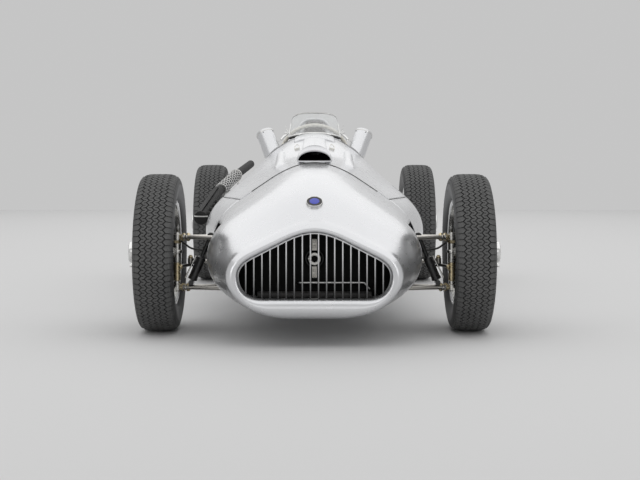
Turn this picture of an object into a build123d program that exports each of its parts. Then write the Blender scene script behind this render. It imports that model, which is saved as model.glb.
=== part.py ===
from build123d import *
import math
import os

# Open wheel single seat racing car, about 1950, in millimetres.
# +X is the car's left, -Y the nose, +Z up. The origin is on the ground, halfway along
# the car. S is the distance behind the front axle, negative ahead of it.

# Driving dimensions: the whole car
OVERALL_LENGTH = 3700.0
FRONT_OVERHANG = 550.0
WHEELBASE = 2400.0
FRONT_TRACK = 1302.0
REAR_TRACK = 1236.0
FRONT_TYRE_RADIUS = 330.0
FRONT_TYRE_WIDTH = 166.0
REAR_TYRE_RADIUS = 345.0
REAR_TYRE_WIDTH = 184.0
RIM_RADIUS = 203.0

# Sheet metal, gaps and clearances
SKIN = 4.0
PANEL_GAP = 0.6
SEAT_CLEARANCE = 0.3
PIN_CLEARANCE = 0.3
FILLET_SHARE = 0.94
FAR = 2500.0

# Body stations, as distances behind the front axle
NOSE_REAR = 250.0
BONNET_REAR = 1230.0
TUB_REAR = 2050.0
TAIL_TIP = OVERALL_LENGTH - FRONT_OVERHANG

# Half of each body section, an octagon whose corners are rounded: distance behind the
# front axle, then across and height of the floor, sill, shoulder and crown corners.
SECTIONS = [
    # s, floor_x, floor_z, sill_x, sill_z, shoulder_x, shoulder_z, crown_x, crown_z
    (-500, 205, 108, 352, 212, 352, 342, 58, 490),
    (-350, 235, 108, 412, 222, 412, 374, 66, 584),
    (-200, 265, 110, 438, 236, 442, 402, 72, 636),
    (0, 290, 112, 440, 244, 447, 432, 78, 678),
    (NOSE_REAR, 305, 115, 446, 250, 452, 463, 88, 708),
    (650, 325, 120, 514, 275, 512, 505, 105, 742),
    (1250, 325, 125, 462, 280, 436, 516, 150, 850),
    (1700, 315, 130, 428, 292, 410, 500, 146, 800),
    (TUB_REAR, 290, 142, 392, 302, 372, 490, 120, 776),
    (2400, 232, 168, 332, 312, 318, 474, 98, 722),
    (2800, 150, 228, 226, 334, 214, 440, 66, 628),
    (3100, 62, 305, 98, 350, 92, 420, 30, 514),
    (TAIL_TIP, 30, 352, 44, 372, 42, 410, 14, 448),
]
NOSE_ROWS = (0, 4)
BODY_ROWS = (4, 8)
TAIL_ROWS = (8, 12)

# Radiator mouth, the same corners at the lip's front edge, and the rolled lip round it
MOUTH = (245, 186, 295, 236, 295, 315, 50, 440)
LIP = (215, 128, 318, 212, 322, 333, 54, 464)

# Height of the seams between floor and flank, and between flank and bonnet
BELLY_HEIGHT = 205.0
SEAM_HEIGHT = 545.0

# Air scoop on the bonnet, its outside sunk into the skin and its floor above it
SCOOP_ROWS = [
    # s, half_width, base, floor, crown
    (300, 78, 700, 717, 769),
    (430, 76, 712, 729, 772),
    (640, 62, 730, 746, 766),
]
SCOOP_WALL = 6.5
SCOOP_SHOULDER = (0.32, 0.62)

# Blisters on the bonnet's sides: start, end, across, height at start and end, radius
BLISTER = (560.0, 880.0, 159.0, 671.0, 731.0, 30.0)

# Cockpit
COCKPIT_START = 1420.0
COCKPIT_END = 2010.0
COCKPIT_HALF_WIDTH = 232.0
COCKPIT_CORNER = 125.0
DASH_S = 1402.0
DASH_THICKNESS = 6.0
DASH_LOW = 600.0
FIREWALL_S = 1210.0
FIREWALL_THICKNESS = 4.0

# Dials on the dash: across, height, radius
DIALS = [(-96, 728, 28), (0, 762, 42), (96, 728, 28)]
DIAL_DEPTH = 12.0

# Headrest fairing: distance behind the axle, half width, base and top height
HEADREST_ROWS = [
    (TUB_REAR, 110, 560, 956),
    (2200, 104, 560, 936),
    (2450, 66, 540, 842),
    (2680, 22, 520, 690),
]

# Openings in the flanks for the suspension: start, end, low, high
FRONT_BAY = (-70.0, 252.0, 150.0, 450.0)
REAR_BAY = (2270.0, 2560.0, 240.0, 460.0)
EXHAUST_SLOT = (785.0, 1150.0, 405.0, 528.0)
BAY_INSIDE = 300.0

# Chassis
RAIL_X = 195.0
RAIL_Z = 200.0
RAIL_RADIUS = 36.0
RAIL_WALL = 3.0
RAIL_START = -120.0
RAIL_END = 2240.0
TOWER_X = 262.0
TOWER_THICKNESS = 8.0
TOWER_REACH = 105.0
TOWER_HEIGHTS = (162.0, 434.0)
DAMPER_BRACKET = 9.0
FRONT_TUBE = (-300.0, 228.0, 180.0, 14.0)
FRONT_LEG_INSET = 22.0
FRONT_LEG_RADIUS = 11.0

CROSS_RADIUS = 20.0

# Cross tubes: distance behind the axle, half width, height, radius
CROSS_TUBES = [
    (-60, 258, 420, 16),
    (-60, 180, RAIL_Z, CROSS_RADIUS),
    (560, 180, RAIL_Z, CROSS_RADIUS),
    (1040, 180, RAIL_Z, CROSS_RADIUS),
    (1560, 180, RAIL_Z, CROSS_RADIUS),
    (2200, 180, RAIL_Z, CROSS_RADIUS),
]
REAR_PLATE = (8.0, 185.0, 180.0, 400.0)
GUSSET = 6.0
RAIL_PLUG = 6.0

# Front suspension and steering
KINGPIN_X = 582.0
KINGPIN_RADIUS = 8.0
UPRIGHT_RADIUS = 16.0
COLLAR = (19.0, 7.0)
STUB_BOSS_RADIUS = 24.0
NUT_HEIGHT = 9.0
UPPER_ARM_Z = 394.0
LOWER_ARM_Z = 182.0
ARM_RADIUS = 9.0
ARM_SPREAD = 90.0
EYE_RADIUS = 15.0
EYE_HEIGHT = 24.0
STUB_RADIUS = 13.0
STUB_REACH = 59.0
BACKPLATE_X = (-51.0, -46.0)
STEERING_ARM = 120.0
TRACK_ROD_Z = 282.0
TRACK_ROD_RADIUS = 8.0
TRACK_ROD_END_X = 536.0
BALL_RADIUS = 13.0
DAMPER_RADIUS = 19.0
DAMPER_ROD_RADIUS = 9.0
DAMPER_EYE = (12.0, 18.0)
DAMPER_FOOT = (11.0, 26.0)
FRONT_DAMPER = ((440.0, 0.0, 400.0), (521.0, 0.0, 206.0))
FRONT_DAMPER_BODY = (0.48, 0.955)
REAR_DAMPER_BODY = 0.72

# Wheels, measured from the wheel's middle plane
SPOKES_PER_ROW = 20
SPOKE_SIZE = 3.6
SPOKE_LEAN = 9.0
SPOKE_FLANGES = (4.0, 60.0)
SPOKE_FEET = (-10.0, 6.0)
HUB_RADIUS = 33.0
HUB_ENDS = (-24.0, 72.0)
DRUM_RADIUS = 155.0
DRUM_ENDS = (-43.0, -12.0)
DRUM_WALL = 9.0
RIM_SHARE = 0.4
RIM_WALL = 4.0
RIM_FLANGE = 15.0
NUT_REACH = 122.0
EAR_LENGTH = 74.0

# Tyre wall from rim to tread: distance inside the full width, share of the wall's height
TYRE_WALL = [(5, 0.28), (0, 0.54), (6, 0.76), (31, 1.0)]

# Rear axle
CARRIER_X = (490.0, 572.0)
CARRIER_RADIUS = 34.0
AXLE_TUBE_RADIUS = 20.0
AXLE_TUBE_BACK = 100.0
CORNER_INSET = 22.0
DIFF = (2300.0, 2460.0, 105.0, 240.0, 450.0)
DIFF_EDGE = 30.0
DIFF_NOSE_RADIUS = 42.0
TRAILING_ARM = ((392.0, 1860.0, 272.0), (522.0, 2400.0, 322.0))
TRAILING_ARM_RADIUS = 11.0
REAR_DAMPER = ((250.0, 2400.0, 548.0), (505.0, 2400.0, 345.0))

# Engine block, radiator and what shows in front of it
ENGINE = (480.0, 1110.0, 610.0)
ENGINE_EDGE = 30.0
RADIATOR = (-250.0, -185.0, 255.0, 485.0)
BOSS_Z = 322.0
BOSS_RADII = (47.0, 25.0, 12.0)
BRACKET = (9.0, 244.0, 400.0)
COOLANT_PIPE = [(-68, -262, 229), (-68, -300, 229), (200, -300, 229), (222, -300, 203)]
COOLANT_PIPE_RADIUS = 4.5

# Grille
GRILLE_S = -532.0
GRILLE_DEPTH = 5.0
GRILLE_RIM = 5.0
GRILLE_BARS = 18
GRILLE_PITCH = 31.0
GRILLE_BAR = 6.0

# Round badge on the nose
BADGE_S = -410.0
BADGE_Z = 556.0
BADGE_SLOPE = 34.0
BADGE_RADIUS = 34.0
BADGE_HEIGHT = 5.0

# Steering wheel and column
STEERING_WHEEL_RADIUS = 180.0
STEERING_RIM_RADIUS = 11.0
STEERING_WHEEL_S = 1555.0
STEERING_WHEEL_Z = 742.0
STEERING_HUB = (30.0, 48.0)
SPOKE_SECTION = (22.0, 4.0)
COLUMN_TILT = 25.0
COLUMN_RADIUS = 13.0
COLUMN_LENGTH = 400.0

# Windscreen
SCREEN_S = 1290.0
SCREEN_BASE = 848.0
SCREEN_TOP = 970.0
SCREEN_HALF = 134.0
SCREEN_TAPER = 14.0
SCREEN_CURVE = 195.0
SCREEN_THICKNESS = 4.0
SCREEN_TILT = 28.0
SCREEN_CORNER = 40.0
SCREEN_STRIP = 14.0
STRIP_WALL = 3.0

# Mirror pods: foot and head of the leaning post, and its flat top above the head
POD_FOOT = (196.0, 1270.0, 700.0)
POD_HEAD = (248.0, 1335.0, 830.0)
POD_RADIUS = 46.0
POD_TOP = 43.0
POD_EDGE = 3.0
POD_RIM = 9.0
POD_RECESS = 16.0
MIRROR_THICKNESS = 4.0

# Seat
SEAT = (1640.0, 1960.0, 185.0, 84.0)
SEAT_BACK = (1925.0, 490.0, 400.0, 66.0, 12.0)
SEAT_BACK_HALF = 160.0
SEAT_PLATE = 4.0
SEAT_SIDE = 60.0
PAD_ROUNDING = 22.0
HEAD_ROUNDING = 12.0
HEAD_PAD = (2016.0, 78.0, 808.0, 926.0)

# Exhaust on the car's right: distance behind the axle, across, height
EXHAUST_ROUTE = [(762, -546, 441), (1400, -504, 556), (2100, -452, 636), (2740, -404, 694)]
EXHAUST_STUBS = [840, 930, 1020, 1110]
PIPE_RADIUS = 24.0
PIPE_BEND = 1500.0
STUB_PIPE_RADIUS = 18.0
SHROUD = (34.0, 31.0, 0.93)
GUARD = (33.0, 30.5, 0.06, 0.97)
LAND_LENGTH = 12.0

# Fuel filler cap on the tail
CAP_S = 2790.0
CAP_RADIUS = 42.0
CAP_TOP = 652.0
CAP_DEPTH = 60.0
CAP_EDGE = 4.0

FRONT_AXLE_Y = FRONT_OVERHANG - OVERALL_LENGTH / 2
REAR_AXLE_Y = FRONT_AXLE_Y + WHEELBASE


def at(s):
    """Y of a distance behind the front axle."""
    return FRONT_AXLE_Y + s


def point(s_point):
    """Point from across, distance behind the axle, height."""
    return Vector(s_point[0], at(s_point[1]), s_point[2])


def slab(s0, s1, x0=-FAR, x1=FAR, z0=-FAR, z1=FAR):
    """Block between two stations, two widths and two heights."""
    low_x, high_x = min(x0, x1), max(x0, x1)
    centre = ((low_x + high_x) / 2, at((s0 + s1) / 2), (z0 + z1) / 2)
    return Pos(*centre) * Box(high_x - low_x, s1 - s0, z1 - z0)


def rod(start, end, radius, inner=0.0):
    """Round bar or tube between two points."""
    a, b = Vector(*start), Vector(*end)
    place = Plane(origin=a, z_dir=b - a)
    length = (b - a).length
    bar = extrude(place * Circle(radius), length)
    if inner:
        bar -= extrude(place.offset(-1) * Circle(inner), length + 2)
    return bar


def ring(x0, x1, outer, inner=0.0):
    """Disc or ring about the X axis at the origin."""
    return rod((x0, 0, 0), (x1, 0, 0), outer, inner)


def mirrored(solid):
    """The same solid on the car's right side."""
    return mirror(solid, Plane.YZ)


def both(solid):
    """A solid and its mirror image, as one node."""
    return Compound(children=[solid, mirrored(solid)])


def biggest(solid):
    """The largest solid of a cut shape."""
    return max(solid.solids(), key=lambda piece: piece.volume)


def octagon(corners):
    """Eight corners of a section, anticlockwise from the floor corner on the left side."""
    half = [(corners[i], corners[i + 1]) for i in range(0, 8, 2)]
    return half + [(-x, z) for x, z in reversed(half)]


def inset(points, distance):
    """The polygon with each side moved inwards by the distance."""
    moved = []
    for i, (x, z) in enumerate(points):
        ax, az = points[i - 1]
        bx, bz = points[(i + 1) % len(points)]
        u = Vector(x - ax, z - az).normalized()
        v = Vector(bx - x, bz - z).normalized()
        scale = distance / (1 + u.X * v.X + u.Y * v.Y)
        moved.append((x - (u.Y + v.Y) * scale, z + (u.X + v.X) * scale))
    return moved


def section(points, y):
    """Face of a polygon at Y whose corners are rounded as far as its sides allow."""
    corners = []
    for i, (x, z) in enumerate(points):
        before, after = points[i - 1], points[(i + 1) % len(points)]
        u = Vector(before[0] - x, before[1] - z)
        v = Vector(after[0] - x, after[1] - z)
        reach = FILLET_SHARE * min(u.length, v.length) / 2
        u, v = u.normalized(), v.normalized()
        half = math.radians(u.get_angle(v) / 2)
        depth = reach * (1 / math.cos(half) - math.tan(half))
        middle = (u + v).normalized() * depth
        corners.append([Vector(x + p.X, y, z + p.Y) for p in (u * reach, middle, v * reach)])
    edges = []
    for i, (start, middle, end) in enumerate(corners):
        edges.append(Edge.make_three_point_arc(start, middle, end))
        edges.append(Edge.make_line(end, corners[(i + 1) % len(corners)][0]))
    return Face(Wire(edges))


def hull(rows, depth=0.0):
    """Loft through the body sections of a range of table rows, inset by a depth."""
    faces = []
    for row in SECTIONS[rows[0] : rows[1] + 1]:
        faces.append(section(inset(octagon(row[1:]), depth), at(row[0])))
    return loft(faces)


nose_outer = hull(NOSE_ROWS)
body_outer = hull(BODY_ROWS)
body_inner = hull(BODY_ROWS, SKIN)
body_shell = body_outer - body_inner
tail_outer = hull(TAIL_ROWS)


def mouth_tunnel(depth):
    """Space inside the rolled lip, from the mouth back to the skin, inset by a depth."""
    row = SECTIONS[0]
    front = inset(octagon(MOUTH), depth)
    back = inset(octagon(row[1:]), SKIN + depth)
    faces = [section(front, at(-FRONT_OVERHANG)), section(back, at(row[0]))]
    return loft(faces, ruled=True)


def make_nose_cowl():
    """Nose cowl: the rolled lip round the mouth and the skin, open at the suspension."""
    row = SECTIONS[0]
    ends = at(-FRONT_OVERHANG), at(row[0])
    lip = loft([section(octagon(LIP), ends[0]), section(octagon(row[1:]), ends[1])], ruled=True)
    lip -= mouth_tunnel(0.0)
    cowl = lip + (nose_outer - hull(NOSE_ROWS, SKIN))
    start, end, low, high = FRONT_BAY
    for side in (-1, 1):
        cowl -= slab(start, end, side * BAY_INSIDE, side * FAR, low, high)
    return cowl


def make_scoop():
    """Outside and inside of the flat air scoop on the bonnet."""
    up, across = SCOOP_SHOULDER
    lofts = []
    for wall in (0.0, SCOOP_WALL):
        faces = []
        for s, half, base, floor, crown in SCOOP_ROWS:
            wide, high, low = half - wall, crown - 2 * wall, floor if wall else base
            shoulder = floor + up * (high - floor)
            right = [(wide, low), (wide, shoulder), (across * wide, high)]
            left = [(-x, z) for x, z in reversed(right)]
            faces.append(section(right + left, at(s - wall)))
        lofts.append(loft(faces, ruled=True))
    return lofts


def make_blister():
    """Rounded blister on the left of the bonnet, a bar with a round nose sunk into it."""
    start, end, x, low, high, radius = BLISTER
    nose = (x, at(start), low)
    blister = rod(nose, (x, at(end) + radius, high), radius) + Pos(*nose) * Sphere(radius)
    return blister & slab(start - radius, end)


def make_bonnet():
    """Top panel over the engine, with its scoop open at the front."""
    panel = body_shell & slab(NOSE_REAR + PANEL_GAP, BONNET_REAR, z0=SEAM_HEIGHT + PANEL_GAP)
    outer, inner = make_scoop()
    blister = make_blister() - body_inner
    return panel + (outer - body_inner) + blister + mirrored(blister) - inner


def make_side_panels():
    """Flank panels. The right one is open where the exhaust comes out."""
    flanks = body_shell & slab(
        NOSE_REAR + PANEL_GAP, BONNET_REAR, z0=BELLY_HEIGHT + PANEL_GAP, z1=SEAM_HEIGHT
    )
    left = flanks & slab(0, BONNET_REAR, x0=0)
    right = flanks & slab(0, BONNET_REAR, x1=0)
    start, end, low, high = EXHAUST_SLOT
    return left, right - slab(start, end, -FAR, 0, low, high)


def make_tub():
    """Scuttle and cockpit sides, with the cockpit opening cut from above."""
    shell = body_shell & slab(BONNET_REAR + PANEL_GAP, TUB_REAR, z0=BELLY_HEIGHT + PANEL_GAP)
    length = COCKPIT_END - COCKPIT_START
    outline = RectangleRounded(2 * COCKPIT_HALF_WIDTH, length, COCKPIT_CORNER)
    middle = (0, at((COCKPIT_START + COCKPIT_END) / 2), SEAM_HEIGHT)
    return shell - extrude(Pos(*middle) * outline, FAR)


def make_tail():
    """Tail shell with its front bulkhead, headrest fairing and axle openings."""
    faces = []
    for s, half, low, high in HEADREST_ROWS:
        sides = (0.9 * half, low, 1.04 * half, low + half, half, high - 0.6 * half)
        faces.append(section(octagon(sides + (0.45 * half, high)), at(s)))
    front = TUB_REAR + PANEL_GAP
    inside = hull(TAIL_ROWS, SKIN) & slab(front + SKIN, TAIL_TIP - 30)
    tail = ((tail_outer + loft(faces)) & slab(front, TAIL_TIP)) - inside
    reach = RAIL_X + RAIL_RADIUS + PANEL_GAP
    top = RAIL_Z + RAIL_RADIUS + PANEL_GAP
    tail -= slab(front - 1, front + SKIN + 1, -reach, reach, RAIL_Z - RAIL_RADIUS - PANEL_GAP, top)
    start, end, low, high = REAR_BAY
    return tail - slab(start, end, z0=low, z1=high)


def make_fuel_cap():
    """Round filler cap seated on the tail."""
    cap = rod((0, at(CAP_S), CAP_TOP - CAP_DEPTH), (0, at(CAP_S), CAP_TOP), CAP_RADIUS)
    cap = biggest(cap - Pos(0, 0, SEAT_CLEARANCE) * tail_outer)
    return chamfer(cap.faces().sort_by(Axis.Z)[-1].edges(), CAP_EDGE)


def column_point(back):
    """Point on the steering column's axis, a distance below the steering wheel."""
    tilt = math.radians(COLUMN_TILT)
    s = STEERING_WHEEL_S - back * math.cos(tilt)
    return (0, at(s), STEERING_WHEEL_Z - back * math.sin(tilt))


def make_plates():
    """Dash with its dials and firewall, cut to the inside of the body skin."""
    inside = hull(BODY_ROWS, SKIN + SEAT_CLEARANCE)
    column = rod(column_point(COLUMN_LENGTH), column_point(0), COLUMN_RADIUS + PIN_CLEARANCE)
    dash = inside & slab(DASH_S, DASH_S + DASH_THICKNESS, z0=DASH_LOW)
    for x, z, radius in DIALS:
        back = at(DASH_S + DASH_THICKNESS)
        dash += rod((x, back - 1, z), (x, back + DIAL_DEPTH, z), radius)
    low = RAIL_Z + RAIL_RADIUS + SEAT_CLEARANCE
    firewall = inside & slab(FIREWALL_S, FIREWALL_S + FIREWALL_THICKNESS, z0=low)
    return dash - column, firewall - column


def make_grille():
    """Upright bars inside a thin rim that fits the mouth."""
    plate = mouth_tunnel(SEAT_CLEARANCE) & slab(GRILLE_S, GRILLE_S + GRILLE_DEPTH)
    grille = plate - mouth_tunnel(SEAT_CLEARANCE + GRILLE_RIM)
    for i in range(GRILLE_BARS):
        x = (i - (GRILLE_BARS - 1) / 2) * GRILLE_PITCH
        bar = slab(GRILLE_S, GRILLE_S + GRILLE_DEPTH, x - GRILLE_BAR / 2, x + GRILLE_BAR / 2)
        grille += plate & bar
    return grille


def make_badge():
    """Plain round badge, its underside cut to the cowl."""
    slope = math.radians(BADGE_SLOPE)
    normal = Vector(0, -math.sin(slope), math.cos(slope))
    place = Plane(origin=(0, at(BADGE_S), BADGE_Z), z_dir=normal)
    disc = extrude(place.offset(-20) * Circle(BADGE_RADIUS), 20 + BADGE_HEIGHT)
    return Pos(*(normal * SEAT_CLEARANCE)) * biggest(disc - nose_outer)


def make_chassis():
    """Two main tubes, cross tubes and suspension towers, welded in one."""
    pieces, bores = [], []
    front_s, front_x, front_z = FRONT_TUBE[:3]
    for side in (-1, 1):
        x = side * RAIL_X
        start, end = (x, at(RAIL_START), RAIL_Z), (x, at(RAIL_END), RAIL_Z)
        pieces.append(rod(start, end, RAIL_RADIUS))
        hollow = (x, start[1] + RAIL_PLUG, RAIL_Z), (x, end[1] + 1, RAIL_Z)
        bores.append(rod(*hollow, RAIL_RADIUS - RAIL_WALL))
        edge = side * TOWER_X
        wall = side * (TOWER_X - TOWER_THICKNESS)
        low, high = TOWER_HEIGHTS
        pieces.append(slab(-TOWER_REACH, TOWER_REACH, wall, edge, low, high))
        for s in (-ARM_SPREAD, ARM_SPREAD):
            pieces.append(slab(s - GUSSET / 2, s + GUSSET / 2, x, wall, RAIL_Z - 20, UPPER_ARM_Z))
        leg = side * (front_x - FRONT_LEG_INSET)
        foot = (leg, at(RAIL_START) + RAIL_PLUG - 1, front_z)
        pieces.append(rod((leg, at(front_s), front_z), foot, FRONT_LEG_RADIUS))
        x, y, z = damper_axis(FRONT_DAMPER, side)[0]
        radius, reach = DAMPER_EYE
        pieces.append(rod((wall, y, z), (x, y, z), DAMPER_BRACKET))
        bores.append(rod((x, y - reach, z), (x, y + reach, z), radius + SEAT_CLEARANCE))
    for s, half, z, radius in CROSS_TUBES + [FRONT_TUBE]:
        pieces.append(rod((-half, at(s), z), (half, at(s), z), radius))
    thick, half, low, high = REAR_PLATE
    pieces.append(slab(RAIL_END - thick, RAIL_END, -half, half, low, high))
    frame = pieces[0]
    for piece in pieces[1:]:
        frame += piece
    for bore in bores:
        frame -= bore
    return frame


def damper_axis(ends, side=1):
    """Upper and lower end of a damper on one side."""
    return [tuple(point((side * p[0], p[1], p[2]))) for p in ends]


def make_arm(height):
    """Left wishbone: two tubes from the tower to an eye round the kingpin."""
    low = height - EYE_HEIGHT / 2
    high = height + EYE_HEIGHT / 2
    arm = rod((KINGPIN_X, FRONT_AXLE_Y, low), (KINGPIN_X, FRONT_AXLE_Y, high), EYE_RADIUS)
    for side in (-1, 1):
        inner = (TOWER_X - 20, at(side * ARM_SPREAD), height)
        arm += rod((KINGPIN_X - 6, FRONT_AXLE_Y, height), inner, ARM_RADIUS)
    arm -= slab(-FAR, FAR, -FAR, TOWER_X + SEAT_CLEARANCE)
    bore = KINGPIN_RADIUS + PIN_CLEARANCE
    return arm - rod((KINGPIN_X, FRONT_AXLE_Y, low - 9), (KINGPIN_X, FRONT_AXLE_Y, high + 9), bore)


def make_front_damper():
    """Left front damper: eye at the bracket, rod, body and a cross eye on the lower arm."""
    top, bottom = (Vector(*p) for p in damper_axis(FRONT_DAMPER))
    start, end = (top + (bottom - top) * share for share in FRONT_DAMPER_BODY)
    eye, reach = DAMPER_EYE
    foot, foot_reach = DAMPER_FOOT
    height = LOWER_ARM_Z + ARM_RADIUS + SEAT_CLEARANCE + foot
    x, y = bottom.X, bottom.Y
    damper = rod(tuple(top), (x, y, height), DAMPER_ROD_RADIUS)
    damper += rod(tuple(start), tuple(end), DAMPER_RADIUS)
    damper += rod((top.X, y - reach, top.Z), (top.X, y + reach, top.Z), eye)
    return damper + rod((x, y - foot_reach, height), (x, y + foot_reach, height), foot)


def make_knuckle():
    """Left knuckle: kingpin and upright, stub axle, brake backplate and steering arm."""
    x, y, z = KINGPIN_X, FRONT_AXLE_Y, FRONT_TYRE_RADIUS
    half = EYE_HEIGHT / 2
    low, high = LOWER_ARM_Z - half, UPPER_ARM_Z + half
    gap = SEAT_CLEARANCE
    knuckle = rod((x, y, low - gap - NUT_HEIGHT), (x, y, high + gap + NUT_HEIGHT), KINGPIN_RADIUS)
    knuckle += rod((x, y, low + 2 * half + gap), (x, y, high - 2 * half - gap), UPRIGHT_RADIUS)
    knuckle += rod((x, y, low - gap - NUT_HEIGHT), (x, y, low - gap), KINGPIN_RADIUS + 5)
    knuckle += rod((x, y, high + gap), (x, y, high + gap + NUT_HEIGHT), KINGPIN_RADIUS + 5)
    wheel_x = FRONT_TRACK / 2
    inner, outer = (wheel_x + reach for reach in BACKPLATE_X)
    radius, half = COLLAR
    knuckle += rod((x, y, z), (outer, y, z), STUB_BOSS_RADIUS)
    knuckle += rod((x, y, z - half), (x, y, z + half), radius)
    knuckle += rod((inner, y, z), (outer, y, z), DRUM_RADIUS - 3)
    knuckle += rod((x, y, z), (wheel_x + STUB_REACH, y, z), STUB_RADIUS)
    top = TRACK_ROD_Z - TRACK_ROD_RADIUS - gap
    end = (TRACK_ROD_END_X, at(STEERING_ARM))
    knuckle += rod((x, y, top - 7), (*end, top - 7), 6.5)
    return knuckle + rod((*end, top - 14), (*end, top), BALL_RADIUS - 1)


def make_track_rod():
    """One rod across the car with a ball end over each steering arm."""
    y, low = at(STEERING_ARM), TRACK_ROD_Z - TRACK_ROD_RADIUS
    bar = rod((-TRACK_ROD_END_X, y, TRACK_ROD_Z), (TRACK_ROD_END_X, y, TRACK_ROD_Z), TRACK_ROD_RADIUS)
    for x in (-TRACK_ROD_END_X, TRACK_ROD_END_X):
        bar += rod((x, y, low), (x, y, low + 22), BALL_RADIUS)
    return bar


def make_wheel(width):
    """Left wire wheel about the origin: rim, spokes, hub, drum and two eared nut."""
    half = width * RIM_SHARE
    rim = ring(-half, half, RIM_RADIUS, RIM_RADIUS - RIM_WALL)
    for side in (-1, 1):
        near, far = sorted((side * half, side * (half - RIM_WALL)))
        rim += ring(near, far, RIM_RADIUS + RIM_FLANGE, RIM_RADIUS - RIM_WALL)
    wheel = ring(*HUB_ENDS, HUB_RADIUS)
    for x in SPOKE_FLANGES:
        wheel += ring(x - 3, x + 3, HUB_RADIUS + 14)
    wheel += ring(*DRUM_ENDS, DRUM_RADIUS, DRUM_RADIUS - DRUM_WALL)
    wheel += ring(DRUM_ENDS[1] - 6, DRUM_ENDS[1], DRUM_RADIUS - 1)
    spokes = []
    step = 2 * math.pi / SPOKES_PER_ROW
    for row, flange in enumerate(SPOKE_FLANGES):
        near, far = HUB_RADIUS + 10, RIM_RADIUS - RIM_WALL / 2
        lean = math.radians(SPOKE_LEAN) * (1 - 2 * row)
        for i in range(SPOKES_PER_ROW):
            angle = (i + row / 2) * step
            start = Vector(flange, near * math.cos(angle), near * math.sin(angle))
            end = Vector(SPOKE_FEET[row], far * math.cos(angle + lean), far * math.sin(angle + lean))
            place = Plane(origin=start, z_dir=end - start)
            spokes.append(extrude(place * Rectangle(SPOKE_SIZE, SPOKE_SIZE), (end - start).length))
    wheel = wheel.fuse(rim, *spokes)
    nut = Cone(HUB_RADIUS + 2, HUB_RADIUS - 8, 30, rotation=(0, 90, 0))
    wheel += Pos(HUB_ENDS[1] + 14.5, 0, 0) * nut
    ear = Pos((90 + NUT_REACH) / 2, 0, 0) * Box(NUT_REACH - 90, 2 * EAR_LENGTH, 15)
    ear -= ring(NUT_REACH - 20, NUT_REACH + 1, 20)
    return wheel + ear


def make_tyre(width, radius):
    """Tyre about the X axis at the origin: its half outline turned, then mirrored."""
    bead = width * RIM_SHARE - RIM_WALL - SEAT_CLEARANCE
    lip = RIM_RADIUS + RIM_FLANGE + SEAT_CLEARANCE
    outline = [(bead, RIM_RADIUS + SEAT_CLEARANCE), (bead, lip)]
    for inset_x, share in TYRE_WALL:
        outline.append((width / 2 - inset_x, lip + share * (radius - lip)))
    outline += [(-x, r) for x, r in reversed(outline)]
    return revolve(make_face(Polyline(*outline, close=True)), Axis.X)


def make_rear_axle():
    """Axle tube behind the differential, with a bearing carrier and backplate each side."""
    z, back = REAR_TYRE_RADIUS, WHEELBASE + AXLE_TUBE_BACK
    axle = None
    for side in (-1, 1):
        inner, outer = (side * x for x in CARRIER_X)
        carrier = rod((inner, REAR_AXLE_Y, z), (outer, REAR_AXLE_Y, z), CARRIER_RADIUS)
        plate = [side * (REAR_TRACK / 2 + x) for x in BACKPLATE_X]
        carrier += rod((plate[0], REAR_AXLE_Y, z), (plate[1], REAR_AXLE_Y, z), DRUM_RADIUS - 3)
        corner = (side * (CARRIER_X[0] + CORNER_INSET), at(back), z)
        carrier += rod((corner[0], REAR_AXLE_Y, z), corner, AXLE_TUBE_RADIUS)
        carrier += Pos(*corner) * Sphere(AXLE_TUBE_RADIUS)
        axle = carrier if axle is None else axle + carrier
    reach = CARRIER_X[0] + CORNER_INSET
    axle += rod((-reach, at(back), z), (reach, at(back), z), AXLE_TUBE_RADIUS)
    bore = STUB_RADIUS + PIN_CLEARANCE
    for side in (-1, 1):
        reach = side * (CARRIER_X[0] - 30), side * (CARRIER_X[1] + 20)
        axle -= rod((reach[0], REAR_AXLE_Y, z), (reach[1], REAR_AXLE_Y, z), bore)
    return axle


def make_differential():
    """Differential housing with its nose against the frame's rear plate."""
    start, end, half, low, high = DIFF
    z = REAR_TYRE_RADIUS
    housing = fillet(slab(start, end, -half, half, low, high).edges(), DIFF_EDGE)
    nose = (0, at(RAIL_END + SEAT_CLEARANCE), z), (0, at(start + DIFF_EDGE), z)
    return housing + rod(*nose, DIFF_NOSE_RADIUS)


def make_half_shaft():
    """Left half shaft from the differential into the wheel's hub."""
    ends = DIFF[2] + SEAT_CLEARANCE, REAR_TRACK / 2 + STUB_REACH
    return rod(*[(x, REAR_AXLE_Y, REAR_TYRE_RADIUS) for x in ends], STUB_RADIUS)


def make_rear_links():
    """Left trailing arm and left rear damper, each cut to its seats."""
    carrier_x = CARRIER_X[0] - 20
    keep_out = rod(
        (carrier_x, REAR_AXLE_Y, REAR_TYRE_RADIUS),
        (CARRIER_X[1] + 9, REAR_AXLE_Y, REAR_TYRE_RADIUS),
        CARRIER_RADIUS + SEAT_CLEARANCE,
    )
    arm = rod(*damper_axis(TRAILING_ARM), TRAILING_ARM_RADIUS)
    arm = biggest(arm - Pos(SEAT_CLEARANCE * 1.5, 0, 0) * body_outer - keep_out)
    top, bottom = (Vector(*p) for p in damper_axis(REAR_DAMPER))
    middle = top + (bottom - top) * REAR_DAMPER_BODY
    damper = rod(tuple(top), tuple(middle), DAMPER_RADIUS)
    damper += rod(tuple(top), tuple(bottom), DAMPER_ROD_RADIUS)
    damper -= Pos(SEAT_CLEARANCE * 1.5, 0, 0) * tail_outer
    return arm, biggest(damper - keep_out)


def make_engine():
    """Engine as one plain block between the main tubes."""
    start, end, high = ENGINE
    low = RAIL_Z + CROSS_RADIUS + SEAT_CLEARANCE
    half = RAIL_X - RAIL_RADIUS - SEAT_CLEARANCE
    block = slab(start, end, -half, half, low, high)
    return chamfer(block.edges().filter_by(Axis.Y), ENGINE_EDGE)


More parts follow.
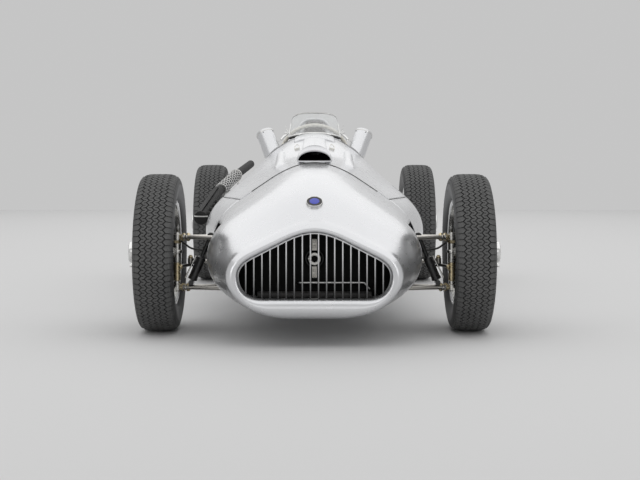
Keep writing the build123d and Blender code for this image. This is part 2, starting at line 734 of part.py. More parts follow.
def make_radiator():
    """Radiator standing on the legs of the front tube."""
    start, end, half, high = RADIATOR
    low = FRONT_TUBE[2] + FRONT_LEG_RADIUS + SEAT_CLEARANCE
    return fillet(slab(start, end, -half, half, low, high).edges().filter_by(Axis.Y), 25)


def make_starter_boss():
    """Round starting handle boss and its strap on the radiator's face."""
    start = RADIATOR[0] - SEAT_CLEARANCE
    disc, outer, inner = BOSS_RADII
    half, low, high = BRACKET
    boss = rod((0, at(start - 10), BOSS_Z), (0, at(start), BOSS_Z), disc)
    boss += slab(start - 14, start, -half, half, low, high)
    boss += rod((0, at(start - 34), BOSS_Z), (0, at(start - 5), BOSS_Z), outer)
    return boss - rod((0, at(start - 35), BOSS_Z), (0, at(start - 12), BOSS_Z), inner)


def make_coolant_pipe():
    """Bright pipe across the front of the radiator."""
    points = [point(p) for p in COOLANT_PIPE]
    points[0].Y = at(RADIATOR[0] - SEAT_CLEARANCE)
    path = FilletPolyline(*points, radius=15)
    return sweep(Plane(origin=path @ 0, z_dir=path % 0) * Circle(COOLANT_PIPE_RADIUS), path=path)


def make_exhaust():
    """Exhaust pipe down the right side with its stubs from the engine."""
    points = [(x, at(s), z) for s, x, z in EXHAUST_ROUTE]
    path = FilletPolyline(*points, radius=PIPE_BEND)
    pipe = sweep(Plane(origin=path @ 0, z_dir=path % 0) * Circle(PIPE_RADIUS), path=path)
    pipe += Pos(*(path @ 1)) * Sphere(PIPE_RADIUS)
    (s0, x0, z0), (s1, x1, z1) = EXHAUST_ROUTE[:2]
    engine_x = -(RAIL_X - RAIL_RADIUS)
    for s in EXHAUST_STUBS:
        t = (s - s0) / (s1 - s0)
        joint = (x0 + t * (x1 - x0), at(s), z0 + t * (z1 - z0))
        stub = rod(joint, (engine_x + 30, at(s - 40), joint[2] - 50), STUB_PIPE_RADIUS)
        pipe += stub & slab(0, TUB_REAR, -FAR, engine_x)
    return pipe


def make_exhaust_covers():
    """Half round shroud over the front of the pipe and round guard over its middle."""
    ends = [Vector(x, at(s), z) for s, x, z in EXHAUST_ROUTE]
    outer, inner, share = SHROUD
    place = Plane(origin=ends[0], x_dir=(1, 0, 0), z_dir=ends[1] - ends[0])
    length = (ends[1] - ends[0]).length * share
    open_side = Pos(outer + 2, 0) * Rectangle(2 * outer, 3 * outer)
    land = PIPE_RADIUS + SEAT_CLEARANCE
    shroud = extrude(place * (Circle(outer) - Circle(inner) - open_side), length)
    for start in (30, length - LAND_LENGTH):
        shroud += extrude(place.offset(start) * (Circle(outer) - Circle(land) - open_side), LAND_LENGTH)
    outer, inner, first, last = GUARD
    place = Plane(origin=ends[1], z_dir=ends[2] - ends[1])
    span = (ends[2] - ends[1]).length
    place = place.offset(span * first)
    length = span * (last - first)
    guard = extrude(place * (Circle(outer) - Circle(inner)), length)
    for start in (0, length - LAND_LENGTH):
        guard += extrude(place.offset(start) * (Circle(outer) - Circle(land)), LAND_LENGTH)
    return shroud, guard


def make_steering_wheel():
    """Rim, four flat spokes and hub about the column's axis."""
    tilt = math.radians(COLUMN_TILT)
    along = Vector(0, math.cos(tilt), math.sin(tilt))
    place = Plane(origin=column_point(0), x_dir=(1, 0, 0), z_dir=along)
    wheel = place * Torus(STEERING_WHEEL_RADIUS, STEERING_RIM_RADIUS)
    width, thickness = SPOKE_SECTION
    radius, depth = STEERING_HUB
    for angle in (45, 135, 225, 315):
        reach = STEERING_WHEEL_RADIUS - 4
        spoke = Rot(0, 0, angle) * Pos(reach / 2, 0, 0) * Box(reach, width, thickness)
        wheel += place * spoke
    length = depth - SEAT_CLEARANCE
    return wheel + place * Pos(0, 0, 8 - length / 2) * Cylinder(radius, length)


def make_column():
    """Steering column from the steering wheel's hub down through the firewall."""
    return rod(column_point(COLUMN_LENGTH), column_point(STEERING_HUB[1] - 8), COLUMN_RADIUS)


def make_windscreen():
    """Small curved screen and its bright base strip, both following the scuttle."""
    base = Pos(0, at(SCREEN_S), SCREEN_BASE) * Rot(-SCREEN_TILT, 0, 0) * Pos(0, SCREEN_CURVE, 0)
    front_half = Pos(0, 10 - FAR / 2, 0) * Box(FAR, FAR, FAR)
    half, top, cut = SCREEN_HALF, SCREEN_TOP, SCREEN_CORNER
    outline = [(half, SCREEN_BASE - cut), (half - SCREEN_TAPER, top - cut), (half - cut, top)]
    outline += [(-x, z) for x, z in reversed(outline)]
    outline = extrude(section(outline, at(0)), FAR, dir=(0, 1, 0))
    curved = []
    for spare in (0.0, STRIP_WALL):
        outer = Cylinder(SCREEN_CURVE + spare, SCREEN_BASE)
        inner = Cylinder(SCREEN_CURVE - SCREEN_THICKNESS - spare, SCREEN_BASE + 1)
        curved.append(base * ((outer - inner) & front_half) & outline)
    seat = Pos(0, 0, SEAT_CLEARANCE) * body_outer
    raised = Pos(0, 0, SCREEN_STRIP) * body_outer
    pane = biggest(curved[0] - Pos(0, 0, SEAT_CLEARANCE) * raised)
    return pane, biggest((curved[1] & raised) - seat)


def make_mirror_pod():
    """Left mirror pod, a leaning post with a round recess at the back, and its glass."""
    foot, head = point(POD_FOOT), point(POD_HEAD)
    top = head + (head - foot).normalized() * POD_TOP
    post = rod(tuple(foot), tuple(top), POD_RADIUS)
    post = chamfer(post.edges().sort_by(Axis.Z)[-1], POD_EDGE)
    bore = POD_RADIUS - POD_RIM
    floor = head.Y + POD_RADIUS - POD_RECESS
    post -= rod((head.X, floor, head.Z), (head.X, floor + POD_RADIUS, head.Z), bore)
    post = biggest(post - body_outer)
    lift = Pos(SEAT_CLEARANCE, 0, SEAT_CLEARANCE)
    near = floor + SEAT_CLEARANCE
    ends = (head.X, near, head.Z), (head.X, near + MIRROR_THICKNESS, head.Z)
    return lift * post, lift * rod(*ends, bore - SEAT_CLEARANCE)


def make_seat():
    """Seat shell on the main tubes, its two pads and the headrest pad."""
    start, end, half, thickness = SEAT
    middle, height, tall, thick, lean = SEAT_BACK
    low = RAIL_Z + RAIL_RADIUS + SEAT_CLEARANCE
    place = Pos(0, at(middle), height) * Rot(-lean, 0, 0)
    shell = slab(start, end, -half, half, low, low + SEAT_PLATE)
    behind = thick / 2 + SEAT_PLATE / 2 + SEAT_CLEARANCE
    shell += place * Pos(0, behind, -60) * Box(2 * SEAT_BACK_HALF, SEAT_PLATE, tall + 80)
    for side in (-1, 1):
        walls = side * half, side * (half + SEAT_PLATE)
        shell += slab(start + 60, end, *walls, low, low + thickness + SEAT_SIDE)
    shell -= slab(start, TAIL_TIP, z1=low)
    seat, inside = low + SEAT_PLATE + SEAT_CLEARANCE, half - SEAT_CLEARANCE
    base = slab(start, middle - thick, -inside, inside, seat, seat + thickness)
    back = place * Pos(0, 0, -10) * Box(2 * SEAT_BACK_HALF, thick, tall - 40)
    pads = [fillet(pad.edges(), PAD_ROUNDING) for pad in (base, back)]
    front, half, low, high = HEAD_PAD
    head = slab(front, TUB_REAR + PANEL_GAP - SEAT_CLEARANCE, -half, half, low, high)
    return shell, Compound(children=pads), fillet(head.edges(), HEAD_ROUNDING)


front_place = Pos(FRONT_TRACK / 2, FRONT_AXLE_Y, FRONT_TYRE_RADIUS)
rear_place = Pos(REAR_TRACK / 2, REAR_AXLE_Y, REAR_TYRE_RADIUS)
side_left, side_right = make_side_panels()
dash, firewall = make_plates()
pane, strip = make_windscreen()
pod, mirror_glass = make_mirror_pod()
knuckle = make_knuckle()
stub_bore = ring(HUB_ENDS[0] - 1, STUB_REACH + 1, STUB_RADIUS + PIN_CLEARANCE)
front_wheel = front_place * (make_wheel(FRONT_TYRE_WIDTH) - stub_bore)
front_tyre = front_place * make_tyre(FRONT_TYRE_WIDTH, FRONT_TYRE_RADIUS)
rear_wheel = rear_place * (make_wheel(REAR_TYRE_WIDTH) - stub_bore)
half_shaft = make_half_shaft()
rear_tyre = rear_place * make_tyre(REAR_TYRE_WIDTH, REAR_TYRE_RADIUS)
trailing_arm, rear_damper = make_rear_links()
shroud, guard = make_exhaust_covers()
seat_shell, seat_pads, head_pad = make_seat()

PARTS = {
    "nose_cowl": make_nose_cowl(),
    "grille": make_grille(),
    "badge": make_badge(),
    "bonnet": make_bonnet(),
    "side_panel_left": side_left,
    "side_panel_right": side_right,
    "undertray": body_shell & slab(NOSE_REAR + PANEL_GAP, TUB_REAR, z1=BELLY_HEIGHT),
    "tub": make_tub(),
    "tail": make_tail(),
    "fuel_cap": make_fuel_cap(),
    "windscreen": pane,
    "windscreen_strip": strip,
    "mirror_pods": both(pod),
    "mirror_glasses": both(mirror_glass),
    "dashboard": dash,
    "firewall": firewall,
    "seat_shell": seat_shell,
    "seat_pads": seat_pads,
    "headrest_pad": head_pad,
    "steering_wheel": make_steering_wheel(),
    "steering_column": make_column(),
    "chassis_frame": make_chassis(),
    "radiator": make_radiator(),
    "starter_boss": make_starter_boss(),
    "coolant_pipe": make_coolant_pipe(),
    "engine_block": make_engine(),
    "exhaust_pipe": make_exhaust(),
    "exhaust_shroud": shroud,
    "exhaust_guard": guard,
    "upper_arms": both(make_arm(UPPER_ARM_Z)),
    "lower_arms": both(make_arm(LOWER_ARM_Z)),
    "front_dampers": both(make_front_damper()),
    "knuckle_left": knuckle,
    "knuckle_right": mirrored(knuckle),
    "track_rod": make_track_rod(),
    "front_wheel_left": front_wheel,
    "front_wheel_right": mirrored(front_wheel),
    "front_tyre_left": front_tyre,
    "front_tyre_right": mirrored(front_tyre),
    "rear_axle_tube": make_rear_axle(),
    "differential": make_differential(),
    "trailing_arms": both(trailing_arm),
    "rear_dampers": both(rear_damper),
    "half_shaft_left": half_shaft,
    "half_shaft_right": mirrored(half_shaft),
    "rear_wheel_left": rear_wheel,
    "rear_wheel_right": mirrored(rear_wheel),
    "rear_tyre_left": rear_tyre,
    "rear_tyre_right": mirrored(rear_tyre),
}

os.makedirs("parts", exist_ok=True)
for name, solid in PARTS.items():
    export_step(solid, f"parts/{name}.step")
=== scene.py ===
# %% [markdown]
# # Open wheel racing car
# This file dresses a single seat racing car of about 1950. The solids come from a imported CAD
# model in metres: +X is the car's left, -Y the nose, +Z up, and the ground is at zero. Each
# step first says what the piece is on the real car, how it could be made in Blender and why
# this way was chosen, and then makes it.

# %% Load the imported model
import math

import bmesh
import bpy
import numpy as np
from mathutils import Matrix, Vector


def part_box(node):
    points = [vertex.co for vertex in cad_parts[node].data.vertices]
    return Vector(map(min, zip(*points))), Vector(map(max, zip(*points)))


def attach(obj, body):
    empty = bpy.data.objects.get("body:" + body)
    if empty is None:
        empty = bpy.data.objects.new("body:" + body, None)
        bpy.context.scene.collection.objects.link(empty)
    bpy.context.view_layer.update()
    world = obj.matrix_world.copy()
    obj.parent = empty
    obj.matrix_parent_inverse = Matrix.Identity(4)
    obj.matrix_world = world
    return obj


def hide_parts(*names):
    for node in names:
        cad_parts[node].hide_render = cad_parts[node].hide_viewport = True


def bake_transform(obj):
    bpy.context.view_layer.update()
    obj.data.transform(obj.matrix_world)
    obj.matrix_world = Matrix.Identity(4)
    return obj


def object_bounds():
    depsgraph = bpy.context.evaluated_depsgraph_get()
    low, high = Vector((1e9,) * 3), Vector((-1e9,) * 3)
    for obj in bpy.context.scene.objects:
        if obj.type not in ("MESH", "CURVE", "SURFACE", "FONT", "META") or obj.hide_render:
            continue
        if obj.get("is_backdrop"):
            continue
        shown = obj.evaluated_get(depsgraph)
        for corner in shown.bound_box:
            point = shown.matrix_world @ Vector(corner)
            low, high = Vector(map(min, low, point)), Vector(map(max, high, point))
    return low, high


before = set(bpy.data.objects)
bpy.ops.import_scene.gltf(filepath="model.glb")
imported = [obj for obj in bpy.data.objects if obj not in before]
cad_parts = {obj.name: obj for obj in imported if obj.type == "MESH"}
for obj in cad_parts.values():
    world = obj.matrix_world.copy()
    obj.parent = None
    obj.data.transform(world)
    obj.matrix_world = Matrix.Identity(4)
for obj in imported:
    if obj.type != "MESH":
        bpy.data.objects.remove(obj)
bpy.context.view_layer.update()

# %% [markdown]
# The camera stands low in front of the car and looks level along +Y. A level camera keeps
# upright lines upright, and the picture is moved down with a lens shift, as an architecture
# photographer does, instead of tilting the camera.

# %% Camera
CAMERA_PLACE, LENS_MM, FILM_MM = (0.0, -6.87, 0.72), 73.97, 36.0
SHIFT_RIGHT, SHIFT_UP = 0.0086, -0.125
camera_data = bpy.data.cameras.new("camera")
camera_data.sensor_width = FILM_MM
camera_data.lens = LENS_MM
camera_data.shift_x = SHIFT_RIGHT
camera_data.shift_y = SHIFT_UP
camera = bpy.data.objects.new("camera", camera_data)
camera.location = CAMERA_PLACE
camera.rotation_euler = (math.radians(90), 0, 0)
bpy.context.scene.collection.objects.link(camera)
bpy.context.scene.camera = camera
print("camera", tuple(camera.location), "lens", camera_data.lens)

# %% [markdown]
# Every new piece here is a surface worked out with numpy. A grid of points, rows by columns,
# becomes quads between neighbours. Keeping a shape as plain arrays until the last moment means
# that shapes can be joined, mirrored and measured before Blender sees them.

# %% Grids of points to shapes
def grid_faces(rows, cols, wrap, loop):
    """Quads between neighbours of a rows by cols grid. Columns close up if wrap, rows if loop."""
    used_rows, used_cols = rows if loop else rows - 1, cols if wrap else cols - 1
    r, c = np.meshgrid(np.arange(used_rows), np.arange(used_cols), indexing="ij")
    down, after = (r + 1) % rows, (c + 1) % cols
    corners = [r * cols + c, r * cols + after, down * cols + after, down * cols + c]
    return np.stack(corners, -1).reshape(-1, 4)


def sheet(points, wrap=False, flip=False, loop=False):
    """A grid of points (rows, columns, 3) as a shape: its points and its quads."""
    faces = grid_faces(points.shape[0], points.shape[1], wrap, loop)
    return points.reshape(-1, 3), faces[:, ::-1] if flip else faces


def joined(*shapes):
    """Several shapes as one: the points stacked and the faces counted on."""
    starts = np.cumsum([0] + [len(points) for points, _ in shapes[:-1]])
    faces = [quads + start for (_, quads), start in zip(shapes, starts)]
    return np.concatenate([points for points, _ in shapes]), np.concatenate(faces)


def mirrored(shape):
    """The shape on the other side of the car: x changes sign and the faces turn round."""
    points, faces = shape
    return points * [-1, 1, 1], faces[:, ::-1]


def both(shape):
    """A shape and its mirror image."""
    return joined(shape, mirrored(shape))


def moved(shape, offset):
    """The shape with an offset added to every point."""
    return shape[0] + np.asarray(offset, float), shape[1]

# %% [markdown]
# A shape becomes a Blender object once. Points that fall together are welded, so the poles and
# seams of a grid are closed, and closed shapes get their normals recalculated so that all faces
# look outwards. Edges sharper than an angle stay crisp while the rest is shaded smooth.

# %% Shapes to pieces
made = {}


def piece(name, shape, body, material, replaces=(), closed=True, crisp=38, weld=1e-5):
    """Put a shape into a mesh object that wears a material and rides a body, if one is named."""
    points, faces = shape
    mesh = bpy.data.meshes.new(name)
    mesh.from_pydata(points.tolist(), [], faces.tolist())
    work = bmesh.new()
    work.from_mesh(mesh)
    bmesh.ops.remove_doubles(work, verts=work.verts, dist=weld)
    if closed:
        bmesh.ops.recalc_face_normals(work, faces=work.faces)
    work.to_mesh(mesh)
    work.free()
    mesh.shade_smooth()
    mesh.set_sharp_from_angle(angle=math.radians(crisp))
    mesh.materials.append(material)
    obj = bpy.data.objects.new(name, mesh)
    bpy.context.scene.collection.objects.link(obj)
    if body:
        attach(obj, body)
    if replaces:
        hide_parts(*replaces)
    made[name] = len(mesh.polygons)
    return obj


def thickened(obj, thickness, offset=-1.0):
    """Give a sheet a wall with Solidify. Offset -1 grows it behind the sheet."""
    wall = obj.modifiers.new("wall", "SOLIDIFY")
    wall.thickness = thickness
    wall.offset = offset
    return obj


def softened(obj, width, segments=2, angle=35):
    """Round the crisp edges with Bevel."""
    bevel = obj.modifiers.new("soft_edges", "BEVEL")
    bevel.width = width
    bevel.segments = segments
    bevel.limit_method = "ANGLE"
    bevel.angle_limit = math.radians(angle)
    bevel.harden_normals = False
    return obj

# %% [markdown]
# Turned parts, tubes and flat plates come up again and again on a car. Each is one formula: a
# profile carried round a circle, a circle carried along a path, and an outline carried through
# a thickness. Rows that shrink to a point close the ends.

# %% Turned parts, tubes and plates
def turned(profile, centre=(0, 0, 0), axis="x", steps=64, loop=False):
    """A profile of (along, radius) pairs carried round an axis: along + radius (cos, sin)."""
    along, radius = np.asarray(profile, float).T
    angle = np.linspace(0, 2 * np.pi, steps, endpoint=False)
    a = np.broadcast_to(along[:, None], (len(along), steps))
    u, v = radius[:, None] * np.cos(angle), radius[:, None] * np.sin(angle)
    parts = {"x": (a, u, v), "y": (v, a, u), "z": (u, v, a)}[axis]
    return sheet(np.stack(parts, -1) + np.asarray(centre, float), wrap=True, loop=loop)


def walled(profile, thickness):
    """A closed loop from an open profile: the line itself, then the line moved along its normals."""
    line = np.asarray(profile, float)
    run = np.gradient(line, axis=0)
    normal = np.stack([-run[:, 1], run[:, 0]], 1) / np.linalg.norm(run, axis=1, keepdims=True)
    return np.concatenate([line, (line + normal * thickness)[::-1]])


def turned_about(profile, start, towards, steps=32):
    """A turned part whose axis starts at a point and looks towards another."""
    start, towards = np.asarray(start, float), np.asarray(towards, float)
    axis = (towards - start) / np.linalg.norm(towards - start)
    side = np.cross(axis, [0, 0, 1] if abs(axis[2]) < 0.9 else [0, 1, 0])
    side /= np.linalg.norm(side)
    up = np.cross(side, axis)
    points, faces = turned(profile, axis="x", steps=steps)
    return start + points @ np.stack([axis, side, up]), faces


def tube(path, radius, sides=14):
    """A circle carried along a path, with a shrunk row at each end to close it."""
    path = np.asarray(path, float)
    radius = np.broadcast_to(np.asarray(radius, float), (len(path),))
    path = np.concatenate([path[:1], path, path[-1:]])
    radius = np.concatenate([[0], radius, [0]])
    run = np.gradient(path[1:-1], axis=0)
    run = np.concatenate([run[:1], run, run[-1:]])
    run /= np.linalg.norm(run, axis=1, keepdims=True)
    guide = np.eye(3)[np.argmin(np.abs(run).mean(0))]
    side = np.cross(run, guide)
    side /= np.linalg.norm(side, axis=1, keepdims=True)
    up = np.cross(run, side)
    angle = np.linspace(0, 2 * np.pi, sides, endpoint=False)[None, :, None]
    ring = np.cos(angle) * side[:, None] + np.sin(angle) * up[:, None]
    return sheet(path[:, None] + ring * radius[:, None, None], wrap=True)


def plate(outline, axis, low, high):
    """An outline of (u, v) pairs carried from low to high along an axis, closed at both faces."""
    u, v = np.asarray(outline, float).T
    rows = []
    for level, shrink in ((low, 0), (low, 1), (high, 1), (high, 0)):
        mid_u, mid_v = u.mean(), v.mean()
        a, b = mid_u + (u - mid_u) * shrink, mid_v + (v - mid_v) * shrink
        c = np.full_like(a, level)
        rows.append(np.stack({"x": (c, a, b), "y": (a, c, b), "z": (a, b, c)}[axis], -1))
    return sheet(np.stack(rows), wrap=True)


def smooth_path(points, count):
    """A Catmull-Rom curve through points: each span is the cubic with chord slopes at its ends."""
    points = np.asarray(points, float)
    padded = np.concatenate([2 * points[:1] - points[1:2], points, 2 * points[-1:] - points[-2:-1]])
    t = np.linspace(0, len(points) - 1 - 1e-9, count)
    i = t.astype(int)
    f = (t - i)[:, None]
    a, b, c, d = (padded[i + k] for k in range(4))
    return 0.5 * (2 * b + (c - a) * f + (2 * a - 5 * b + 4 * c - d) * f**2 + (3 * b - a - 3 * c + d) * f**3)


print("tools ready")

# %% [markdown]
# The paint is silver over hand beaten aluminium. Several finishes on this car need the same
# small effects: a slow unevenness of tone, fine rubbing marks, and a film of road dust. Each is
# a node group with named inputs, built once and placed in a material with its own values. The
# groups read Object coordinates, so a pattern stays on the metal when the camera moves.

# %% Nodes, groups and new materials
FLOAT, COLOUR, VECTOR = "NodeSocketFloat", "NodeSocketColor", "NodeSocketVector"


def new_group(name, inputs, outputs):
    """An empty shader group with named sockets: (name, kind, default) for each input."""
    group = bpy.data.node_groups.new(name, "ShaderNodeTree")
    for label, kind, default in inputs:
        socket = group.interface.new_socket(label, in_out="INPUT", socket_type=kind)
        if default is not None:
            socket.default_value = default
    for label, kind in outputs:
        group.interface.new_socket(label, in_out="OUTPUT", socket_type=kind)
    start, end = group.nodes.new("NodeGroupInput"), group.nodes.new("NodeGroupOutput")
    return group, start.outputs, end.inputs


def node(tree, kind, links=(), **values):
    """Add a node, set its values and link sockets into it by name or number."""
    made_node = tree.nodes.new("ShaderNode" + kind)
    for key, value in values.items():
        setattr(made_node, key, value)
    for socket, source in dict(links).items():
        target = made_node.inputs[socket]
        if isinstance(source, bpy.types.NodeSocket):
            tree.links.new(source, target)
        else:
            target.default_value = source
    return made_node


def object_place(tree):
    """Where a shaded point is, in the coordinates of its object."""
    return node(tree, "TexCoord").outputs["Object"]


def remap(tree, value, before, after):
    """A value carried from one range to another and held at the ends."""
    ends = {"From Min": before[0], "From Max": before[1], "To Min": after[0], "To Max": after[1]}
    return node(tree, "MapRange", {"Value": value, **ends}).outputs["Result"]


def effect(tree, group, **values):
    """One of the shared groups, placed in a tree with its own values."""
    placed = node(tree, "Group", node_tree=group)
    for label, value in values.items():
        placed.inputs[label].default_value = value
    return placed


def new_material(name):
    """A new material, its node tree and its Principled shader."""
    material = bpy.data.materials.new(name)
    material.use_nodes = True
    return material, material.node_tree, material.node_tree.nodes["Principled BSDF"]


print("node tools ready")

# %% [markdown]
# The three shared effects. Uneven tone is a slow noise spread over a narrow range. Rubbing
# marks are a fine noise, drawn out by a stretch, that gives a mask for the gloss and a slight
# bump. Road dust is a gritty noise that is strongest near the ground, because it is thrown up
# by the wheels, and it is mixed over the colour it is given.

# %% Shared effects
uneven, u_in, u_out = new_group(
    "uneven tone",
    [("Scale", FLOAT, 6.0), ("Low", FLOAT, 0.9), ("High", FLOAT, 1.1), ("Detail", FLOAT, 4.0)],
    [("Value", FLOAT)],
)
cloud = node(uneven, "TexNoise", {"Vector": object_place(uneven), "Scale": u_in["Scale"],
                                  "Detail": u_in["Detail"]})
uneven.links.new(remap(uneven, cloud.outputs["Fac"], (0.3, 0.7), (u_in["Low"], u_in["High"])), u_out["Value"])

rubbed, r_in, r_out = new_group(
    "rubbing marks",
    [("Scale", FLOAT, 90.0), ("Stretch", VECTOR, (1, 1, 1)), ("Depth", FLOAT, 0.1)],
    [("Mask", FLOAT), ("Normal", VECTOR)],
)
drawn = node(rubbed, "VectorMath", {0: object_place(rubbed), 1: r_in["Stretch"]}, operation="MULTIPLY")
streak = node(rubbed, "TexNoise", {"Vector": drawn.outputs[0], "Scale": r_in["Scale"],
                                   "Detail": 6.0, "Roughness": 0.7})
lift = node(rubbed, "Bump", {"Height": streak.outputs["Fac"], "Strength": r_in["Depth"], "Distance": 0.0006})
rubbed.links.new(streak.outputs["Fac"], r_out["Mask"])
rubbed.links.new(lift.outputs["Normal"], r_out["Normal"])

dusty, d_in, d_out = new_group(
    "road dust",
    [("Colour", COLOUR, (1, 1, 1, 1)), ("Dust", COLOUR, (0.42, 0.40, 0.37, 1)), ("Amount", FLOAT, 0.15),
     ("Height", FLOAT, 0.5)],
    [("Colour", COLOUR), ("Mask", FLOAT)],
)
place = object_place(dusty)
split = node(dusty, "SeparateXYZ", {0: place})
low = remap(dusty, split.outputs["Z"], (0.0, d_in["Height"]), (1.0, 0.25))
grit = node(dusty, "TexNoise", {"Vector": place, "Scale": 14.0, "Detail": 9.0, "Roughness": 0.68})
film = remap(dusty, grit.outputs["Fac"], (0.38, 0.72), (0.0, 1.0))
share = node(dusty, "Math", {0: film, 1: low}, operation="MULTIPLY")
share = node(dusty, "Math", {0: share.outputs[0], 1: d_in["Amount"]}, operation="MULTIPLY")
blend = node(dusty, "Mix", {"Factor": share.outputs[0], "A": d_in["Colour"], "B": d_in["Dust"]},
             data_type="RGBA")
dusty.links.new(blend.outputs["Result"], d_out["Colour"])
dusty.links.new(share.outputs[0], d_out["Mask"])
print("groups", [g.name for g in bpy.data.node_groups])

# %% [markdown]
# A finish is one Principled shader. The tone of the base colour is varied a little by the
# uneven group, dust is mixed in, and the roughness follows the rubbing marks, so that a
# highlight breaks up as it does on a real surface. Numbers that are the same all over are set
# on the shader's own sockets.

# %% A finish from a colour and a few numbers
def finish(name, colour, metallic=0.0, rough=(0.3, 0.4), tone=(0.94, 1.05), tone_scale=5.0, marks=60.0,
           stretch=(1, 1, 1), depth=0.05, dust=0.08, **sockets):
    """A painted, plated or bare surface: uneven tone, rubbing marks in the gloss, road dust."""
    finished, tree, shader = new_material(name)
    tone_node = effect(tree, uneven, Scale=tone_scale, Low=tone[0], High=tone[1])
    tinted = node(tree, "VectorMath", {0: colour, "Scale": tone_node.outputs["Value"]}, operation="SCALE")
    film_node = effect(tree, dusty, Amount=dust)
    tree.links.new(tinted.outputs[0], film_node.inputs["Colour"])
    tree.links.new(film_node.outputs["Colour"], shader.inputs["Base Color"])
    marks_node = effect(tree, rubbed, Scale=marks, Stretch=stretch, Depth=depth)
    gloss = remap(tree, marks_node.outputs["Mask"], (0.3, 0.7), rough)
    dulled = node(tree, "Math", {0: gloss, 1: film_node.outputs["Mask"]}, operation="ADD")
    tree.links.new(dulled.outputs[0], shader.inputs["Roughness"])
    tree.links.new(marks_node.outputs["Normal"], shader.inputs["Normal"])
    shader.inputs["Metallic"].default_value = metallic
    for socket, value in sockets.items():
        shader.inputs[socket.replace("_", " ")].default_value = value
    return finished


def feeding(shader, socket):
    """The output that feeds a socket of a shader now."""
    return shader.inputs[socket].links[0].from_socket


print("finish tool ready")

# %% [markdown]
# The silver paint is polished by hand. On both sides of the nose the polishing has left arcs
# that catch the light. They are rings of a wave texture round one point, bent by its
# distortion: they tip the surface a little, and their tone is a painted sheen that lightens and
# darkens the base colour along the arcs. Both fade out with the distance from that point, and
# taking the size of each coordinate puts the arcs on both sides at once.

# %% Silver paint with polishing arcs and their painted sheen
POLISH_CENTRE = (0.45, 1.42, 0.28)
POLISH_FULL, POLISH_END = 0.06, 0.19

silver_paint = finish("silver paint", (0.70, 0.705, 0.72), 0.90, (0.25, 0.31), (0.97, 1.02), 3.0, 26.0,
                      depth=0.012, dust=0.06, Coat_Weight=0.35, Coat_Roughness=0.08)
tree = silver_paint.node_tree
shader = tree.nodes["Principled BSDF"]
folded = node(tree, "VectorMath", {0: object_place(tree)}, operation="ABSOLUTE")
from_centre = node(tree, "VectorMath", {0: folded.outputs[0], 1: POLISH_CENTRE}, operation="SUBTRACT")
far = node(tree, "VectorMath", {0: from_centre.outputs[0]}, operation="LENGTH")
near = remap(tree, far.outputs["Value"], (POLISH_FULL, POLISH_END), (0.42, 0.0))
wave = {"Vector": from_centre.outputs[0], "Scale": 24.0, "Distortion": 9.0, "Detail": 3.0,
        "Detail Scale": 1.2}
arcs = node(tree, "TexWave", wave, wave_type="RINGS", rings_direction="SPHERICAL").outputs["Fac"]
beaten = node(tree, "Bump", {"Height": arcs, "Strength": near, "Distance": 0.0004,
                             "Normal": feeding(shader, "Normal")})
tree.links.new(beaten.outputs["Normal"], shader.inputs["Normal"])
# Painted sheen: the arcs also scale the base colour up and down, in place of the light they catch.
centred = node(tree, "Math", {0: arcs, 1: 0.5}, operation="SUBTRACT")
painted_arc_sheen = node(tree, "Math", {0: centred.outputs[0], 1: near, 2: 1.0}, operation="MULTIPLY_ADD")
lit = node(tree, "VectorMath", {0: feeding(shader, "Base Color"), "Scale": painted_arc_sheen.outputs[0]},
           operation="SCALE")
tree.links.new(lit.outputs[0], shader.inputs["Base Color"])
print("silver paint", len(tree.nodes), "nodes")

# %% [markdown]
# The other paints and metals need no more than the common finish. Bright plating is smooth and
# takes little dust, bare steel and castings are rougher and dustier the lower they sit, and the
# radiator's core is nearly black and hardly reflects, with marks drawn out along its fins: a dark
# core, darkened further as painted shade of the deep mouth.

# %% Paints and metals
plating = finish("bright plating", (0.80, 0.80, 0.79), 1.0, (0.08, 0.18), marks=120.0, dust=0.12)
steel = finish("polished steel", (0.62, 0.60, 0.56), 1.0, (0.22, 0.38), marks=150.0, dust=0.25)
bright_steel = finish("plated steel", (0.74, 0.73, 0.70), 1.0, (0.14, 0.26), marks=130.0, dust=0.15)
brass = finish("pale brass fittings", (0.68, 0.58, 0.38), 1.0, (0.20, 0.34), marks=110.0, dust=0.15)
guard_silver = finish("guard silver", (0.56, 0.56, 0.55), 0.9, (0.25, 0.40), marks=90.0, dust=0.2)
sheet_metal = finish("dull sheet", (0.40, 0.40, 0.41), 0.9, (0.38, 0.55), marks=60.0, dust=0.25)
cast_metal = finish("cast aluminium", (0.36, 0.36, 0.35), 0.9, (0.45, 0.65), marks=220.0, depth=0.5,
                    dust=0.35)
# Painted shade: the core is kept nearly black and weakly reflecting, darker than its metal under the front
# lamps.
core_shade_black = finish("radiator core in painted shade", (0.006, 0.006, 0.0058), 0.0, (0.55, 0.75), marks=300.0,
                    stretch=(1, 1, 6), depth=0.6, dust=0.02, Specular_IOR_Level=0.15)
black_paint = finish("black enamel", (0.012, 0.012, 0.013), 0.0, (0.22, 0.38), marks=50.0, dust=0.10,
                     Coat_Weight=0.4)
frame_paint = finish("frame paint", (0.02, 0.02, 0.022), 0.0, (0.35, 0.55), marks=50.0, dust=0.25)
pipe_black = finish("heat proof black", (0.012, 0.012, 0.012), 0.0, (0.55, 0.75), marks=160.0, depth=0.25,
                    dust=0.12, Specular_IOR_Level=0.25)
# Painted shade: near black, dull and weakly reflecting, for the shaded insides of the mouth and the scoop.
shade_black = finish("painted shade black", (0.004, 0.004, 0.004), 0.0, (0.7, 0.9), dust=0.02,
                      Specular_IOR_Level=0.1)
